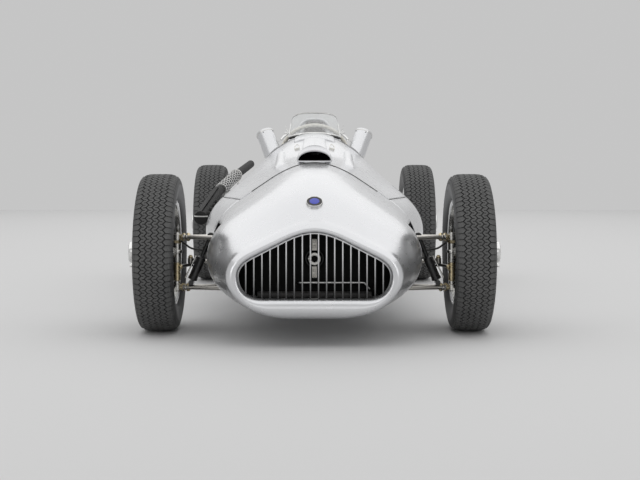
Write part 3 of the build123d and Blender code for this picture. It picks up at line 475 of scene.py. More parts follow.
# Dark rubber for the brake hoses; the same black tubes also paint the shadow lines under the screen's foot
# and the latch pad's front edge, and darken the bonnet seam.
rubber_and_shadow_black = finish("rubber and painted shadow black", (0.02, 0.02, 0.02), 0.0, (0.5, 0.65), marks=80.0, dust=0.2)
enamel = finish("blue enamel", (0.045, 0.065, 0.48), 0.0, (0.10, 0.20), dust=0.02, Coat_Weight=0.3)
dark_ring = finish("dark ring", (0.015, 0.012, 0.014), 0.0, (0.2, 0.3), dust=0.03)
cream_rim = finish("cream rim", (0.84, 0.81, 0.73), 0.0, (0.25, 0.42), (0.90, 1.04), 14.0, 90.0, dust=0.06,
                   Coat_Weight=0.3)
dial_face = finish("dial face", (0.010, 0.010, 0.011), 0.0, (0.3, 0.4), dust=0.02)
dial_marks = finish("dial marks", (0.80, 0.79, 0.74), 0.0, (0.4, 0.5), dust=0.02)
print("finishes", len(bpy.data.materials))

# %% [markdown]
# The screen is clear acrylic, a little hazed by wiping. It lets most of the light through and
# mirrors the rest, and its low index of refraction keeps what is behind it in place. The share
# that does not go through also takes a pale white base colour, a painted reflection of the
# bright sky over the pane.

# %% Clear screen
clear_screen, tree, shader = new_material("clear screen")
haze = effect(tree, rubbed, Scale=60.0, Depth=0.01)
mist = remap(tree, haze.outputs["Mask"], (0.0, 1.0), (0.03, 0.12))
tree.links.new(mist, shader.inputs["Roughness"])
# Painted reflection: with Transmission Weight below one, the rest of the pane takes this pale colour as a
# diffuse haze.
shader.inputs["Base Color"].default_value = (0.96, 0.97, 0.97, 1)
shader.inputs["Transmission Weight"].default_value = 0.82
shader.inputs["IOR"].default_value = 1.35
print("screen ready")

# %% [markdown]
# The body is a smooth skin through listed sections. Each row of the table is half of an
# eight cornered outline at one station; the real panels flow through them without a break. A
# loft of the CAD's rows would show its flats, so here the corners are carried along the car by
# a cubic curve, and each section rounds its corners with parabolas. S is the distance behind
# the front axle, as in the CAD.

# %% Body sections
FRONT_AXLE_Y, REAR_AXLE_Y, REACH = -1.3, 1.1, 0.75
SECTIONS = np.array([
    # s, floor x and z, sill x and z, shoulder x and z, crown x and z, in millimetres
    (-500, 205, 108, 352, 212, 352, 342, 58, 490),
    (-350, 235, 108, 412, 222, 412, 374, 66, 584),
    (-200, 265, 110, 438, 236, 442, 402, 72, 636),
    (0, 290, 112, 440, 244, 447, 432, 78, 678),
    (250, 305, 115, 446, 250, 452, 463, 88, 708),
    (650, 325, 120, 514, 275, 512, 505, 105, 742),
    (1250, 325, 125, 462, 280, 436, 516, 150, 850),
    (1700, 315, 130, 428, 292, 410, 500, 146, 800),
    (2050, 290, 142, 392, 302, 372, 490, 120, 776),
    (2400, 232, 168, 332, 312, 318, 474, 98, 722),
    (2800, 150, 228, 226, 334, 214, 440, 66, 628),
    (3100, 62, 305, 98, 350, 92, 420, 30, 514),
    (3150, 30, 352, 44, 372, 42, 410, 14, 448),
]) / 1000


def corners_at(s):
    """Half section corners (n, 4, 2) at stations: cubic spans with chord slopes at the rows."""
    rows, values = SECTIONS[:, 0], SECTIONS[:, 1:]
    slope = np.gradient(values, rows, axis=0)
    i = np.clip(np.searchsorted(rows, s, side="right") - 1, 0, len(rows) - 2)
    h = (rows[i + 1] - rows[i])[:, None]
    f = (np.asarray(s) - rows[i])[:, None] / h
    ease = 3 * f**2 - 2 * f**3
    at = (1 - ease) * values[i] + ease * values[i + 1]
    at = at + h * (f * (1 - f) ** 2 * slope[i] - f**2 * (1 - f) * slope[i + 1])
    return at.reshape(-1, 4, 2)


def half_outline(corners):
    """Dense half sections from the bottom middle round the left side to the top middle.

    Each corner is a parabola between a point before and a point after it, at most half way
    along a side and at most REACH times the shorter side away; runs between are straight."""
    n = len(corners)
    low, high = corners[:, :1] * [-1, 1], corners[:, -1:] * [-1, 1]
    loop = np.concatenate([low, corners, high], 1)
    before = loop[:, :-2] - loop[:, 1:-1]
    after = loop[:, 2:] - loop[:, 1:-1]
    len_b = np.linalg.norm(before, axis=2, keepdims=True)
    len_a = np.linalg.norm(after, axis=2, keepdims=True)
    most = REACH * np.minimum(len_b, len_a)
    start = corners + before / len_b * np.minimum(len_b / 2, most)
    end = corners + after / len_a * np.minimum(len_a / 2, most)
    f = np.linspace(0, 1, 24)[None, None, :, None]
    arc = (1 - f) ** 2 * start[:, :, None] + f**2 * end[:, :, None]
    arc = arc + 2 * f * (1 - f) * corners[:, :, None]
    line = arc.reshape(n, -1, 2)
    bottom = np.stack([np.zeros(n), corners[:, 0, 1]], 1)[:, None]
    top = np.stack([np.zeros(n), corners[:, -1, 1]], 1)[:, None]
    return np.concatenate([bottom, line, top], 1)


def skin(s, start=None, end=None, columns=40, corners=None):
    """Points of the left half of the skin, rows at stations s and columns round the section.

    start and end are lengths along the half section, one for each row, from the bottom."""
    s = np.asarray(s, float)
    line = half_outline(corners_at(s) if corners is None else corners)
    step = np.linalg.norm(np.diff(line, axis=1), axis=2)
    length = np.concatenate([np.zeros((len(line), 1)), np.cumsum(step, 1)], 1)
    start = np.zeros(len(line)) if start is None else start
    end = length[:, -1] if end is None else end
    w = start[:, None] + (end - start)[:, None] * np.linspace(0, 1, columns)
    x = np.array([np.interp(w[i], length[i], line[i, :, 0]) for i in range(len(line))])
    z = np.array([np.interp(w[i], length[i], line[i, :, 1]) for i in range(len(line))])
    y = np.broadcast_to((FRONT_AXLE_Y + s)[:, None], x.shape)
    return np.stack([x, y, z], -1)


def length_where(s, x=None, z=None):
    """Length along each half section where it passes a height z, or a width x on its top."""
    line = half_outline(corners_at(np.asarray(s, float)))
    step = np.linalg.norm(np.diff(line, axis=1), axis=2)
    length = np.concatenate([np.zeros((len(line), 1)), np.cumsum(step, 1)], 1)
    if z is not None:
        z = np.broadcast_to(z, len(line))
        return np.array([np.interp(z[i], line[i, :, 1], length[i]) for i in range(len(line))])
    x = np.broadcast_to(x, len(line))
    half = line.shape[1] // 2
    return np.array([np.interp(-x[i], -line[i, half:, 0], length[i, half:]) for i in range(len(line))])


def crown_height(s):
    """Height of the skin on the centre line at one station."""
    return float(corners_at([s])[0, -1, 1])


def skin_height(x, s):
    """Height of the upper skin at a width x and a station s."""
    line = half_outline(corners_at([s]))[0]
    half = len(line) // 2
    return float(np.interp(-abs(x), -line[half:, 0], line[half:, 1]))


print("skin at the axle", skin([0.0]).shape, "crown", crown_height(0.0))

# %% [markdown]
# The panels themselves are open sheets of painted metal. A wall behind the sheet gives them
# the thickness that shows at their cut edges.

# %% Panels
SKIN_WALL = 0.003


def panel(name, shape, node_name=None, weld=1e-5, mirror=True):
    """A painted panel with a wall behind it, in place of a CAD node if one is named.

    The shape is its left half, and the right half is added unless mirror is off."""
    whole = both(shape) if mirror else shape
    replaced = [node_name] if node_name else ()
    obj = piece(name, whole, "chassis", silver_paint, replaced, closed=False, crisp=60,
                weld=weld)
    return thickened(obj, SKIN_WALL)


print("wall", SKIN_WALL)

# %% [markdown]
# The nose cowl ends in a rolled lip round the radiator mouth. The skin's columns are carried
# on past its first section through a few outlines of the same eight corners: out to the lip,
# over its crest and back inside. One smooth curve through them in the fore and aft direction
# gives the roll, so cowl and lip are one sheet, as they are when beaten from one blank. From
# the bay's first station on, the sides are open for the suspension, so only a low and a high
# strip of the skin go on to the seam with the bonnet.

# %% Nose cowl
LIP_ROWS = np.array([
    # s, floor x and z, sill x and z, shoulder x and z, crown x and z, in millimetres
    (-500, 205, 108, 352, 212, 352, 342, 58, 490),
    (-528, 208, 113, 340, 211, 341, 338, 56, 479),
    (-546, 217, 128, 325, 214, 325, 332, 54, 464),
    (-551, 228, 148, 309, 221, 310, 325, 52, 452),
    (-545, 238, 170, 299, 229, 300, 319, 51, 444),
    (-530, 244, 185, 295, 235, 295, 315, 50, 440),
    (-505, 244, 187, 295, 237, 295, 315, 50, 440),
]) / 1000
NOSE_FRONT, NOSE_REAR, SEAM = -0.5, 0.25, 0.0014
BAY_START, BAY_LOW, BAY_HIGH = -0.07, 0.15, 0.45
LIP_STEPS, LIP_COLUMNS, LOW_COLUMNS, SIDE_COLUMNS = 34, 84, 26, 36

lip_s = smooth_path(LIP_ROWS[:, :1], LIP_STEPS)[::-1, 0]
lip_corners = smooth_path(LIP_ROWS[:, 1:], LIP_STEPS)[::-1].reshape(-1, 4, 2)
lip = skin(lip_s, corners=lip_corners, columns=LIP_COLUMNS)
rows_ahead = np.linspace(NOSE_FRONT, BAY_START, 36)
rows_beside = np.linspace(BAY_START, NOSE_REAR - SEAM, 28)
low_edge = length_where(rows_ahead, z=BAY_LOW), length_where(rows_beside, z=BAY_LOW)
high_edge = length_where(rows_ahead, z=BAY_HIGH), length_where(rows_beside, z=BAY_HIGH)
ahead = [
    skin(rows_ahead, None, low_edge[0], LOW_COLUMNS),
    skin(rows_ahead, low_edge[0], high_edge[0], SIDE_COLUMNS),
    skin(rows_ahead, high_edge[0], None, SIDE_COLUMNS),
]
first = np.concatenate([ahead[0], ahead[1][:, 1:], ahead[2][:, 1:]], 1)
share = np.linspace(0, 1, LIP_COLUMNS)
along = np.concatenate([[0], np.cumsum(np.linalg.norm(np.diff(first[0], axis=0), axis=1))])
along /= along[-1]
grid = np.stack([np.stack([np.interp(along, share, row[:, k]) for k in range(3)], 1) for row in lip])
cowl_parts = [sheet(np.concatenate([grid, first[1:]]), flip=True)]
cowl_parts.append(sheet(skin(rows_beside, None, low_edge[1], LOW_COLUMNS), flip=True))
cowl_parts.append(sheet(skin(rows_beside, high_edge[1], None, SIDE_COLUMNS), flip=True))
panel("nose_cowl_skin", joined(*cowl_parts), "nose_cowl", weld=2e-5)
print("nose cowl", made["nose_cowl_skin"], "quads")

# %% [markdown]
# The bonnet is the top skin between the nose cowl and the scuttle. Its seams run at one height
# along the flanks, so each row of the grid starts at the length where the section passes that
# height. Its front edge is wired: the sheet is rolled round a thin wire, which shows as a
# bright line beside the dark seam. Blisters on both sides clear the engine; each is a bar with
# a round nose, sunk into the skin.

# %% Bonnet with its wired edge and blisters
BONNET_REAR, BELLY, SHOULDER_SEAM = 1.23, 0.205, 0.545
bonnet_s = np.linspace(NOSE_REAR + SEAM, BONNET_REAR - SEAM, 60)
half_bonnet = skin(bonnet_s, length_where(bonnet_s, z=SHOULDER_SEAM + SEAM), None, 60)
panel("bonnet_skin", sheet(half_bonnet, flip=True), "bonnet")
wire_line = np.concatenate([half_bonnet[0], half_bonnet[0, -2::-1] * [-1, 1, 1]])
piece("bonnet_wired_edge", tube(wire_line + [0, 0.0006, 0.0002], 0.0022, 8), "chassis", silver_paint)

BLISTER_START = np.array([0.159, FRONT_AXLE_Y + 0.560, 0.671])
BLISTER_END = np.array([0.159, FRONT_AXLE_Y + 0.905, 0.7357])
BLISTER_RADIUS, BLISTER_LENGTH = 0.030, math.dist(BLISTER_START, BLISTER_END)
nose_turn = np.linspace(0, np.pi / 2, 10)
round_nose = BLISTER_RADIUS * np.stack([-np.cos(nose_turn), np.sin(nose_turn)], 1)
straight = [(0.25 * BLISTER_LENGTH, BLISTER_RADIUS), (BLISTER_LENGTH, BLISTER_RADIUS * 0.94),
            (BLISTER_LENGTH, 0)]
blister = turned_about(np.concatenate([round_nose, straight]), BLISTER_START, BLISTER_END, 48)
piece("bonnet_blisters", both(blister), "chassis", silver_paint)
print("bonnet", made["bonnet_skin"], "blister length", round(BLISTER_LENGTH, 3))

# %% [markdown]
# The air scoop is one closed sheet in the form of a sleeve. Each row of points is an arch with
# a nearly flat foot. The rows start inside, run forward under the black sheet of painted shade,
# roll over a thick rim at the mouth and run back over the outside until the arch sinks into the
# bonnet. Its tail is drawn out into a low spine.

# %% Air scoop
SCOOP_MOUTH, SCOOP_END, ARCH_POINTS = 0.300, 1.040, 56


def arch(s, half, level, up, down):
    """One closed row: x = half cos, z = level + up sin above and level - down root(sin) below."""
    t = np.linspace(0, 2 * np.pi, ARCH_POINTS, endpoint=False)
    rise = np.where(np.sin(t) >= 0, up * np.sin(t), -down * np.sqrt(np.abs(np.sin(t))))
    return np.stack([half * np.cos(t), np.full_like(t, FRONT_AXLE_Y + s), level + rise], -1)


inside = [arch(0.56, 0.001, 0.745, 0.001, 0.0), arch(0.55, 0.060, 0.740, 0.024, 0.0),
          arch(0.42, 0.067, 0.7265, 0.032, 0.0), arch(0.312, 0.0712, 0.7182, 0.0390, 0.0)]
turn = np.linspace(-np.pi / 2, np.pi / 2, 9)[1:-1]
rolled = [arch(0.306 - 0.0065 * np.cos(a), 0.0752 + 0.0042 * np.sin(a), 0.7180, 0.0452 + 0.0062 * np.sin(a),
               0.0055 + 0.0055 * np.sin(a)) for a in turn]
outside = []
for s in np.linspace(0.308, SCOOP_END, 40):
    f = (s - SCOOP_MOUTH) / (SCOOP_END - SCOOP_MOUTH)
    half = 0.0795 - 0.0250 * f ** 0.8
    level = skin_height(half, s)
    crown = np.logaddexp((0.7700 + 0.010 * f) * 400, (crown_height(s) + 0.0105) * 400) / 400
    outside.append(arch(s, half, max(level, 0.718 - 0.05 * f), crown - level, 0.012))
outside.append(outside[-1] * [0.98, 1, 1] - [0, -0.002, 0.006])
outside.append(outside[-1] * [0.02, 1, 0] + [0, 0, outside[-1][:, 2].min()])
piece("air_scoop", sheet(np.stack(inside + rolled + outside), wrap=True), "chassis", silver_paint,
      crisp=50)
print("scoop", made["air_scoop"])

# %% [markdown]
# Behind the scoop a flat pad carries the bonnet's latches. It is pressed up from the sheet with
# steep sides and rounded corners. Its height over the skin is a formula: one less the
# fourteenth powers of both distances from the middle, which is flat inside and falls at the
# edge. The points stand closer there, because they are spaced by a sine.

# %% Latch pad
PAD_S, PAD_HALF_WIDTH, PAD_HALF_LENGTH, PAD_HEIGHT = 1.132, 0.104, 0.084, 0.013


def sine_spaced(count):
    """Numbers from -1 to 1 that stand closer together at both ends."""
    return np.sin(np.linspace(-np.pi / 2, np.pi / 2, count))


across, along = np.meshgrid(sine_spaced(41), sine_spaced(33))
pad_x, pad_s = PAD_HALF_WIDTH * across, PAD_S + PAD_HALF_LENGTH * along
under = np.array([[skin_height(a, b) for a, b in zip(*row)] for row in zip(pad_x, pad_s)])
lift = PAD_HEIGHT * np.clip(1 - np.abs(across) ** 14 - np.abs(along) ** 14, 0, 1) ** 0.3 - 0.002
pad = np.stack([pad_x, FRONT_AXLE_Y + pad_s, under + lift], -1)
piece("latch_pad", sheet(pad), "chassis", silver_paint, closed=False, crisp=50)
print("pad height", round(float(pad[16, 20, 2]), 3))

# %% [markdown]
# The flank panels close the sides between bonnet and floor, and the floor pan runs under the
# whole car. The right flank has a long slot with square ends for the exhaust stubs. Where a
# panel has a hole, the grid is split into bands round it, so the hole's edge is a clean row
# of points and not a saw line.

# %% Flanks and floor
TUB_REAR = 2.05
SLOT_START, SLOT_END, SLOT_LOW, SLOT_HIGH = 0.785, 1.15, 0.405, 0.528


def band(s, low, high, columns):
    """Skin between two heights, or from the bottom or to the top where a height is None."""
    start = None if low is None else length_where(s, z=low)
    end = None if high is None else length_where(s, z=high)
    return skin(s, start, end, columns)


flank_s = np.linspace(NOSE_REAR + SEAM, BONNET_REAR - SEAM, 46)
left_flank = sheet(band(flank_s, BELLY + SEAM, SHOULDER_SEAM - SEAM, 26), flip=True)
panel("left_flank_skin", left_flank, "side_panel_left", mirror=False)
spans = [(NOSE_REAR + SEAM, SLOT_START), (SLOT_START, SLOT_END), (SLOT_END, BONNET_REAR - SEAM)]
heights = [BELLY + SEAM, SLOT_LOW, SLOT_HIGH, SHOULDER_SEAM - SEAM]
right_parts = []
for first_s, last_s in spans:
    stations = np.linspace(first_s, last_s, 22)
    for low, high, columns in zip(heights, heights[1:], (18, 10, 4)):
        is_slot = first_s == SLOT_START and low == SLOT_LOW
        if not is_slot:
            right_parts.append(sheet(band(stations, low, high, columns), flip=True))
panel("right_flank_skin", mirrored(joined(*right_parts)), "side_panel_right", mirror=False)
floor_s = np.linspace(NOSE_REAR + SEAM, TUB_REAR - SEAM, 50)
panel("floor_pan", sheet(band(floor_s, None, BELLY - SEAM, 30), flip=True), "undertray")
print("flanks", made["left_flank_skin"], made["right_flank_skin"], "floor", made["floor_pan"])

# %% [markdown]
# The scuttle and the cockpit sides are one panel with the cockpit cut out of its top. The
# opening is a rectangle with round corners seen from above. For each station its half width is
# worked out, and the side band ends there; a front and a rear deck fill the middle before and
# behind it. A rolled bead stiffens the cut edge, as a wired edge does on sheet metal.

# %% Scuttle and cockpit
COCKPIT_START, COCKPIT_END, COCKPIT_HALF, COCKPIT_CORNER = 1.42, 2.01, 0.232, 0.125
FRONT_ROWS, REAR_ROWS = 12, 4


def cockpit_half(s):
    """Half width of a rounded rectangle along s: straight sides and quarter circle corners."""
    into = np.clip(np.minimum(s - COCKPIT_START, COCKPIT_END - s), 0, COCKPIT_CORNER)
    rise = np.sqrt(np.maximum(COCKPIT_CORNER**2 - (COCKPIT_CORNER - into) ** 2, 0))
    return COCKPIT_HALF - COCKPIT_CORNER + rise


arc_steps = COCKPIT_CORNER * (1 - np.cos(np.linspace(0, np.pi / 2, 16)))
tub_s = np.concatenate([
    np.linspace(BONNET_REAR + SEAM, COCKPIT_START, FRONT_ROWS),
    COCKPIT_START + arc_steps[1:],
    np.linspace(COCKPIT_START + COCKPIT_CORNER, COCKPIT_END - COCKPIT_CORNER, 20)[1:],
    COCKPIT_END - arc_steps[::-1][1:],
    np.linspace(COCKPIT_END, TUB_REAR - SEAM, REAR_ROWS)[1:],
])
edge = length_where(tub_s, x=cockpit_half(tub_s))
tub_parts = [sheet(skin(tub_s, length_where(tub_s, z=BELLY + SEAM), edge, 44), flip=True)]
for span in (slice(0, FRONT_ROWS), slice(len(tub_s) - REAR_ROWS, None)):
    tub_parts.append(sheet(skin(tub_s[span], edge[span], None, 16), flip=True))
panel("scuttle_skin", joined(*tub_parts), "tub", weld=4e-4)


def on_skin_line(x, s):
    """Points of the skin over widths x and stations s."""
    return np.array([(a, FRONT_AXLE_Y + b, skin_height(a, b)) for a, b in zip(x, s)])


rim_s = tub_s[FRONT_ROWS - 1:len(tub_s) - REAR_ROWS + 1]
rim_x = cockpit_half(rim_s)
rim_line = on_skin_line(rim_x, rim_s)
front_x = np.linspace(-rim_x[0], rim_x[0], 12)[1:-1]
front_line = on_skin_line(front_x, np.full(10, COCKPIT_START))
back_line = on_skin_line(-front_x, np.full(10, COCKPIT_END))
rim_loop = np.concatenate([rim_line, back_line, rim_line[::-1] * [-1, 1, 1], front_line, rim_line[:1]])
piece("cockpit_bead", tube(rim_loop + [0, 0, -0.001], 0.0055, 12), "chassis", silver_paint)
print("scuttle", made["scuttle_skin"], "bead points", len(rim_loop))

# %% [markdown]
# The tail tapers to a blunt point. The half shafts leave through openings in its sides, so up to
# the end of the opening it is made of bands, as the flanks are. Its last section is closed by
# a shallow dome: copies of the section that shrink as the root of one less a square.

# %% Tail
TAIL_TIP, DOME_DEPTH = 3.15, 0.006
SHAFT_START, SHAFT_END, SHAFT_LOW, SHAFT_HIGH = 2.27, 2.56, 0.24, 0.46
TAIL_BANDS = ((None, SHAFT_LOW, 16), (SHAFT_LOW, SHAFT_HIGH, 18), (SHAFT_HIGH, None, 36))
tail_parts = []
for first_s, last_s, rows in ((TUB_REAR + SEAM, SHAFT_START, 14), (SHAFT_START, SHAFT_END, 12)):
    stations = np.linspace(first_s, last_s, rows)
    for low, high, columns in TAIL_BANDS:
        is_opening = first_s == SHAFT_START and low == SHAFT_LOW
        if not is_opening:
            tail_parts.append(sheet(band(stations, low, high, columns), flip=True))
end_rows = skin(np.linspace(SHAFT_END, TAIL_TIP, 48), None, None, 70)
middle = end_rows[-1].mean(0) * [0, 1, 1]
steps = np.linspace(0, 1, 10)[1:, None, None]
dome = middle + (end_rows[-1:] - middle) * np.sqrt(1 - steps**2) + steps * [0, DOME_DEPTH, 0]
tail_parts.append(sheet(np.concatenate([end_rows, dome]), flip=True))
panel("tail_skin", joined(*tail_parts), "tail", weld=4e-4)
print("tail", made["tail_skin"])

# %% [markdown]
# The headrest fairing stands on the tail's spine. It is a second sheet of arches that grow out
# of the tail: it starts behind the driver's head at full height and sinks into the tail. A
# bead runs round its front edge, a flat face closes it, and a bulkhead of dull sheet closes
# the tail below it.

# %% Headrest fairing
FAIRING_ROWS = np.array([
    # s, half width, top height, in millimetres
    (2051, 110, 956), (2120, 109, 951), (2200, 105, 936), (2330, 88, 892), (2450, 67, 839),
    (2570, 45, 768), (2680, 22, 694), (2740, 8, 652),
]) / 1000
fair_s, fair_half, fair_top = smooth_path(FAIRING_ROWS, 60).T
v = np.linspace(0, 1, 41)
shape_x = np.sign(np.cos(v * np.pi)) * np.abs(np.cos(v * np.pi)) ** 0.62
shape_z = np.sin(v * np.pi) ** 0.75
x = fair_half[:, None] * shape_x * (1 + 0.06 * (1 - shape_z))
foot = np.array([skin_height(1.06 * a, b) for a, b in zip(fair_half, fair_s)])[:, None] - 0.02
z = foot + (fair_top[:, None] - foot) * shape_z
y = np.broadcast_to((FRONT_AXLE_Y + fair_s)[:, None], x.shape)
panel("headrest_fairing", sheet(np.stack([x, y, z], -1), flip=True), mirror=False)
front_y = y[0, 0]
edge_line = np.stack([x[0], y[0] - 0.0005, z[0] - 0.001], 1)
piece("fairing_bead", tube(edge_line, 0.0075, 12), "chassis", silver_paint)
face_panel = plate(np.stack([x[0], z[0]], 1)[::-1], "y", front_y + 0.0020, front_y + 0.0040)
piece("fairing_face", face_panel, "chassis", silver_paint, crisp=30)
BULKHEAD_MIDDLE, BULKHEAD_SHARE = np.array([0, 0.45]), 0.985
section = half_outline(corners_at([TUB_REAR + 0.004]))[0]
section = np.concatenate([section, section[-2:0:-1] * [-1, 1]])
section = (section - BULKHEAD_MIDDLE) * BULKHEAD_SHARE + BULKHEAD_MIDDLE
bulkhead = plate(section, "y", front_y + 0.0045, front_y + 0.0065)
piece("seat_bulkhead", bulkhead, "chassis", sheet_metal, crisp=30)
print("fairing", made["headrest_fairing"])

# %% [markdown]
# The tyres are tall, narrow racing covers. Their tread has wavy ribs cut by zigzag grooves, with
# a short sipe at every bend, and blocks on the shoulders. A bump map can't give the toothed
# outline that a tread has against the light, so the grooves are real. The columns of points
# across the tread all swing from side to side together, so that a groove's edges are rows of
# points and stay crisp with few faces.

# %% Tyre shape
GROOVES = np.array([-43.0, -21.5, 0.0, 21.5, 43.0]) / 1000
GROOVE_COLUMNS = np.array([-9.7, -9.0, -2.9, -2.2, 2.2, 2.9, 9.0, 9.7]) / 1000
SHOULDER_COLUMNS = np.array([54.5, 57.0, 60.5]) / 1000
PITCH_ROWS = np.array([0.0, 0.06, 0.10, 0.46, 0.50, 0.56, 0.60, 0.96])
TREAD_WIDTH, BEAD_RADIUS, BEAD_INNER = 0.150, 0.2183, 0.206
# The side wall from bead to shoulder: x as a share of the width, height as a share of the wall.
SIDE_WALL = np.array([(0.3867, 0.0), (0.400, 0.012), (0.435, 0.11), (0.470, 0.27), (0.492, 0.44),
                      (0.497, 0.58), (0.487, 0.72), (0.462, 0.83), (0.425, 0.905)])


def tyre(width, radius, pitches, swing=0.0052, depth=0.0055):
    """A tyre round the x axis, and how worn each of its points is.

    Across: a smooth wall from the bead to the shoulder, then the crown, which falls with the
    fourth power of the distance from the middle. Around: the columns of the tread swing with a
    triangle wave, and points between groove edges or in a sipe go down by the groove's depth."""
    scale = width / TREAD_WIDTH
    side = smooth_path(SIDE_WALL, 18) * [width, radius - BEAD_RADIUS] + [0, BEAD_RADIUS]
    tread = (GROOVES[:, None] + GROOVE_COLUMNS).ravel() * scale
    edge = SHOULDER_COLUMNS * scale
    across = np.concatenate([-edge[::-1], tread, edge])
    crown = radius - 0.0125 * (np.abs(across) / (0.062 * scale)) ** 4
    inner_x = np.array([-0.25 * width, -0.38 * width])
    inner_r = np.array([BEAD_INNER, BEAD_INNER])
    x = np.concatenate([inner_x, -side[:, 0], across, side[::-1, 0], -inner_x[::-1]])
    r = np.concatenate([inner_r, side[:, 1], crown, side[::-1, 1], inner_r])
    turn = (np.arange(pitches)[:, None] + PITCH_ROWS).ravel() / pitches
    phase = np.tile(PITCH_ROWS, pitches)
    wave = swing * scale * (4 * np.abs(phase - 0.5) - 1)

    crown_start = len(inner_x) + len(side)
    crown_end = crown_start + len(across)
    tread_start, tread_end = crown_start + len(edge), crown_end - len(edge)
    swings = np.zeros(len(x))
    swings[crown_start:crown_end] = np.clip((0.0545 * scale - np.abs(across)) / (0.003 * scale), 0, 1)
    column = np.tile(np.arange(len(GROOVE_COLUMNS)), len(GROOVES))
    tread_rows = np.arange(tread_start, tread_end)
    at_start, at_middle = phase < 0.07, (phase > 0.49) & (phase < 0.57)
    low = np.zeros((len(x), len(turn)))
    low[tread_rows[np.isin(column, (3, 4))]] = 1
    low[np.ix_(tread_rows[np.isin(column, (5, 6))], at_start)] = 0.7
    low[np.ix_(tread_rows[np.isin(column, (1, 2))], at_middle)] = 0.7
    low[np.ix_(np.arange(crown_start - 4, tread_start), at_middle)] = 0.75
    low[np.ix_(np.arange(tread_end, crown_end + 4), at_start)] = 0.75
    low[[crown_start - 4, crown_end + 3]] *= 0.3

    angle = 2 * np.pi * turn
    deep_r = r[:, None] - depth * low
    swung_x = x[:, None] + swings[:, None] * wave
    points = np.stack([swung_x, deep_r * np.cos(angle), deep_r * np.sin(angle)], -1)
    worn = np.zeros_like(low)
    worn[crown_start:crown_end] = 1.0
    worn[crown_start - 6:crown_start] = np.linspace(0.2, 0.8, 6)[:, None]
    worn[crown_end:crown_end + 6] = np.linspace(0.8, 0.2, 6)[:, None]
    worn = np.clip(worn - 1.4 * low, 0, 1)
    return sheet(points, wrap=True, loop=True), worn.ravel()


def shoulder_ribs(width, radius, count=264, start=0.62, end=0.84):
    """Thin radial ribs on one shoulder: wedges of four faces between two shares of the wall."""
    wall = radius - BEAD_RADIUS
    low, high = BEAD_RADIUS + start * wall, BEAD_RADIUS + end * wall
    ridge = [(0.4935, 0, low), (0.4935, 0.0010, low + 0.002), (0.463, 0.0012, high - 0.002), (0.455, 0, high)]
    base = np.array([(x * width + lift, r, side * 0.0011) for x, lift, r in ridge for side in (-1, 1)])
    angle = np.linspace(0, 2 * np.pi, count, endpoint=False)[:, None]
    y = base[:, 1] * np.cos(angle) - base[:, 2] * np.sin(angle)
    z = base[:, 1] * np.sin(angle) + base[:, 2] * np.cos(angle)
    points = np.stack([np.broadcast_to(base[:, 0], y.shape), y, z], -1)
    quads = np.array([(0, 2, 3, 1), (2, 4, 5, 3), (4, 6, 7, 5), (0, 1, 7, 6)])
    faces = (quads[None] + len(base) * np.arange(count)[:, None, None]).reshape(-1, 4)
    return points.reshape(-1, 3), faces


TYRES = {
    # the cover with how worn it is, and the ribs of its left shoulder
    "front": (*tyre(0.166, 0.3305, 83), shoulder_ribs(0.166, 0.330)),
    "rear": (*tyre(0.184, 0.3455, 78), shoulder_ribs(0.184, 0.345)),
}
print("tyre points", [len(TYRES[end][0][0]) for end in TYRES])

# %% [markdown]
# Rubber is dark and dull. The tops of the ribs are scuffed by the road to a greyer tone, dust
# stays on them, and the grooves stay black. The wear comes from an attribute that the shape
# computed for each point, because only the shape knows what is rib and what is groove.

# %% Tyre rubber
GROOVE_BLACK, SCUFFED_GREY = (0.010, 0.010, 0.011, 1), (0.092, 0.0925, 0.092, 1)

tyre_rubber, tree, shader = new_material("tyre rubber")
wear = node(tree, "Attribute", attribute_name="wear")
cloud = effect(tree, uneven, Scale=22.0, Low=0.75, High=1.2)
scuff = node(tree, "Math", {0: wear.outputs["Fac"], 1: cloud.outputs["Value"]}, operation="MULTIPLY")
tone = node(tree, "Mix", {"Factor": scuff.outputs[0], "A": GROOVE_BLACK, "B": SCUFFED_GREY}, data_type="RGBA")
film = effect(tree, dusty, Amount=0.06)
tree.links.new(tone.outputs["Result"], film.inputs["Colour"])
tree.links.new(film.outputs["Colour"], shader.inputs["Base Color"])
tree.links.new(remap(tree, scuff.outputs[0], (0, 1), (0.42, 0.78)), shader.inputs["Roughness"])
pores = effect(tree, rubbed, Scale=260.0, Depth=0.25)
tree.links.new(pores.outputs["Normal"], shader.inputs["Normal"])
print("rubber ready")

# %% [markdown]
# The four tyres are two shapes, each placed on the left and mirrored to the right. Toothed ribs
# stand on both shoulders of every tyre; they are separate wedges that rest on the wall.

# %% Four tyres
FRONT_HUB, REAR_HUB = np.array([0.651, FRONT_AXLE_Y, 0.330]), np.array([0.618, REAR_AXLE_Y, 0.345])
WHEELS = [
    # end, side, hub centre on the left side
    ("front", "left", FRONT_HUB), ("front", "right", FRONT_HUB),
    ("rear", "left", REAR_HUB), ("rear", "right", REAR_HUB),
]


def on_side(shape, hub, side):
    """A wheel part moved from the origin to its hub, on the left or mirrored to the right."""
    placed = moved(shape, hub)
    return mirrored(placed) if side == "right" else placed


for end, side, hub in WHEELS:
    cover, worn, ribs = TYRES[end]
    ribs = both(ribs)
    placed = on_side(joined(cover, ribs), hub, side)
    rubber = piece(f"{end}_{side}_tyre_rubber", placed, f"wheel_{end}_{side}", tyre_rubber,
                   [f"{end}_tyre_{side}"], weld=1e-7)
    wear = rubber.data.attributes.new("wear", "FLOAT", "POINT")
    wear.data.foreach_set("value", np.concatenate([worn, np.full(len(ribs[0]), 0.5)]).astype(np.float32))
print("tyres", made["front_left_tyre_rubber"], made["rear_left_tyre_rubber"])

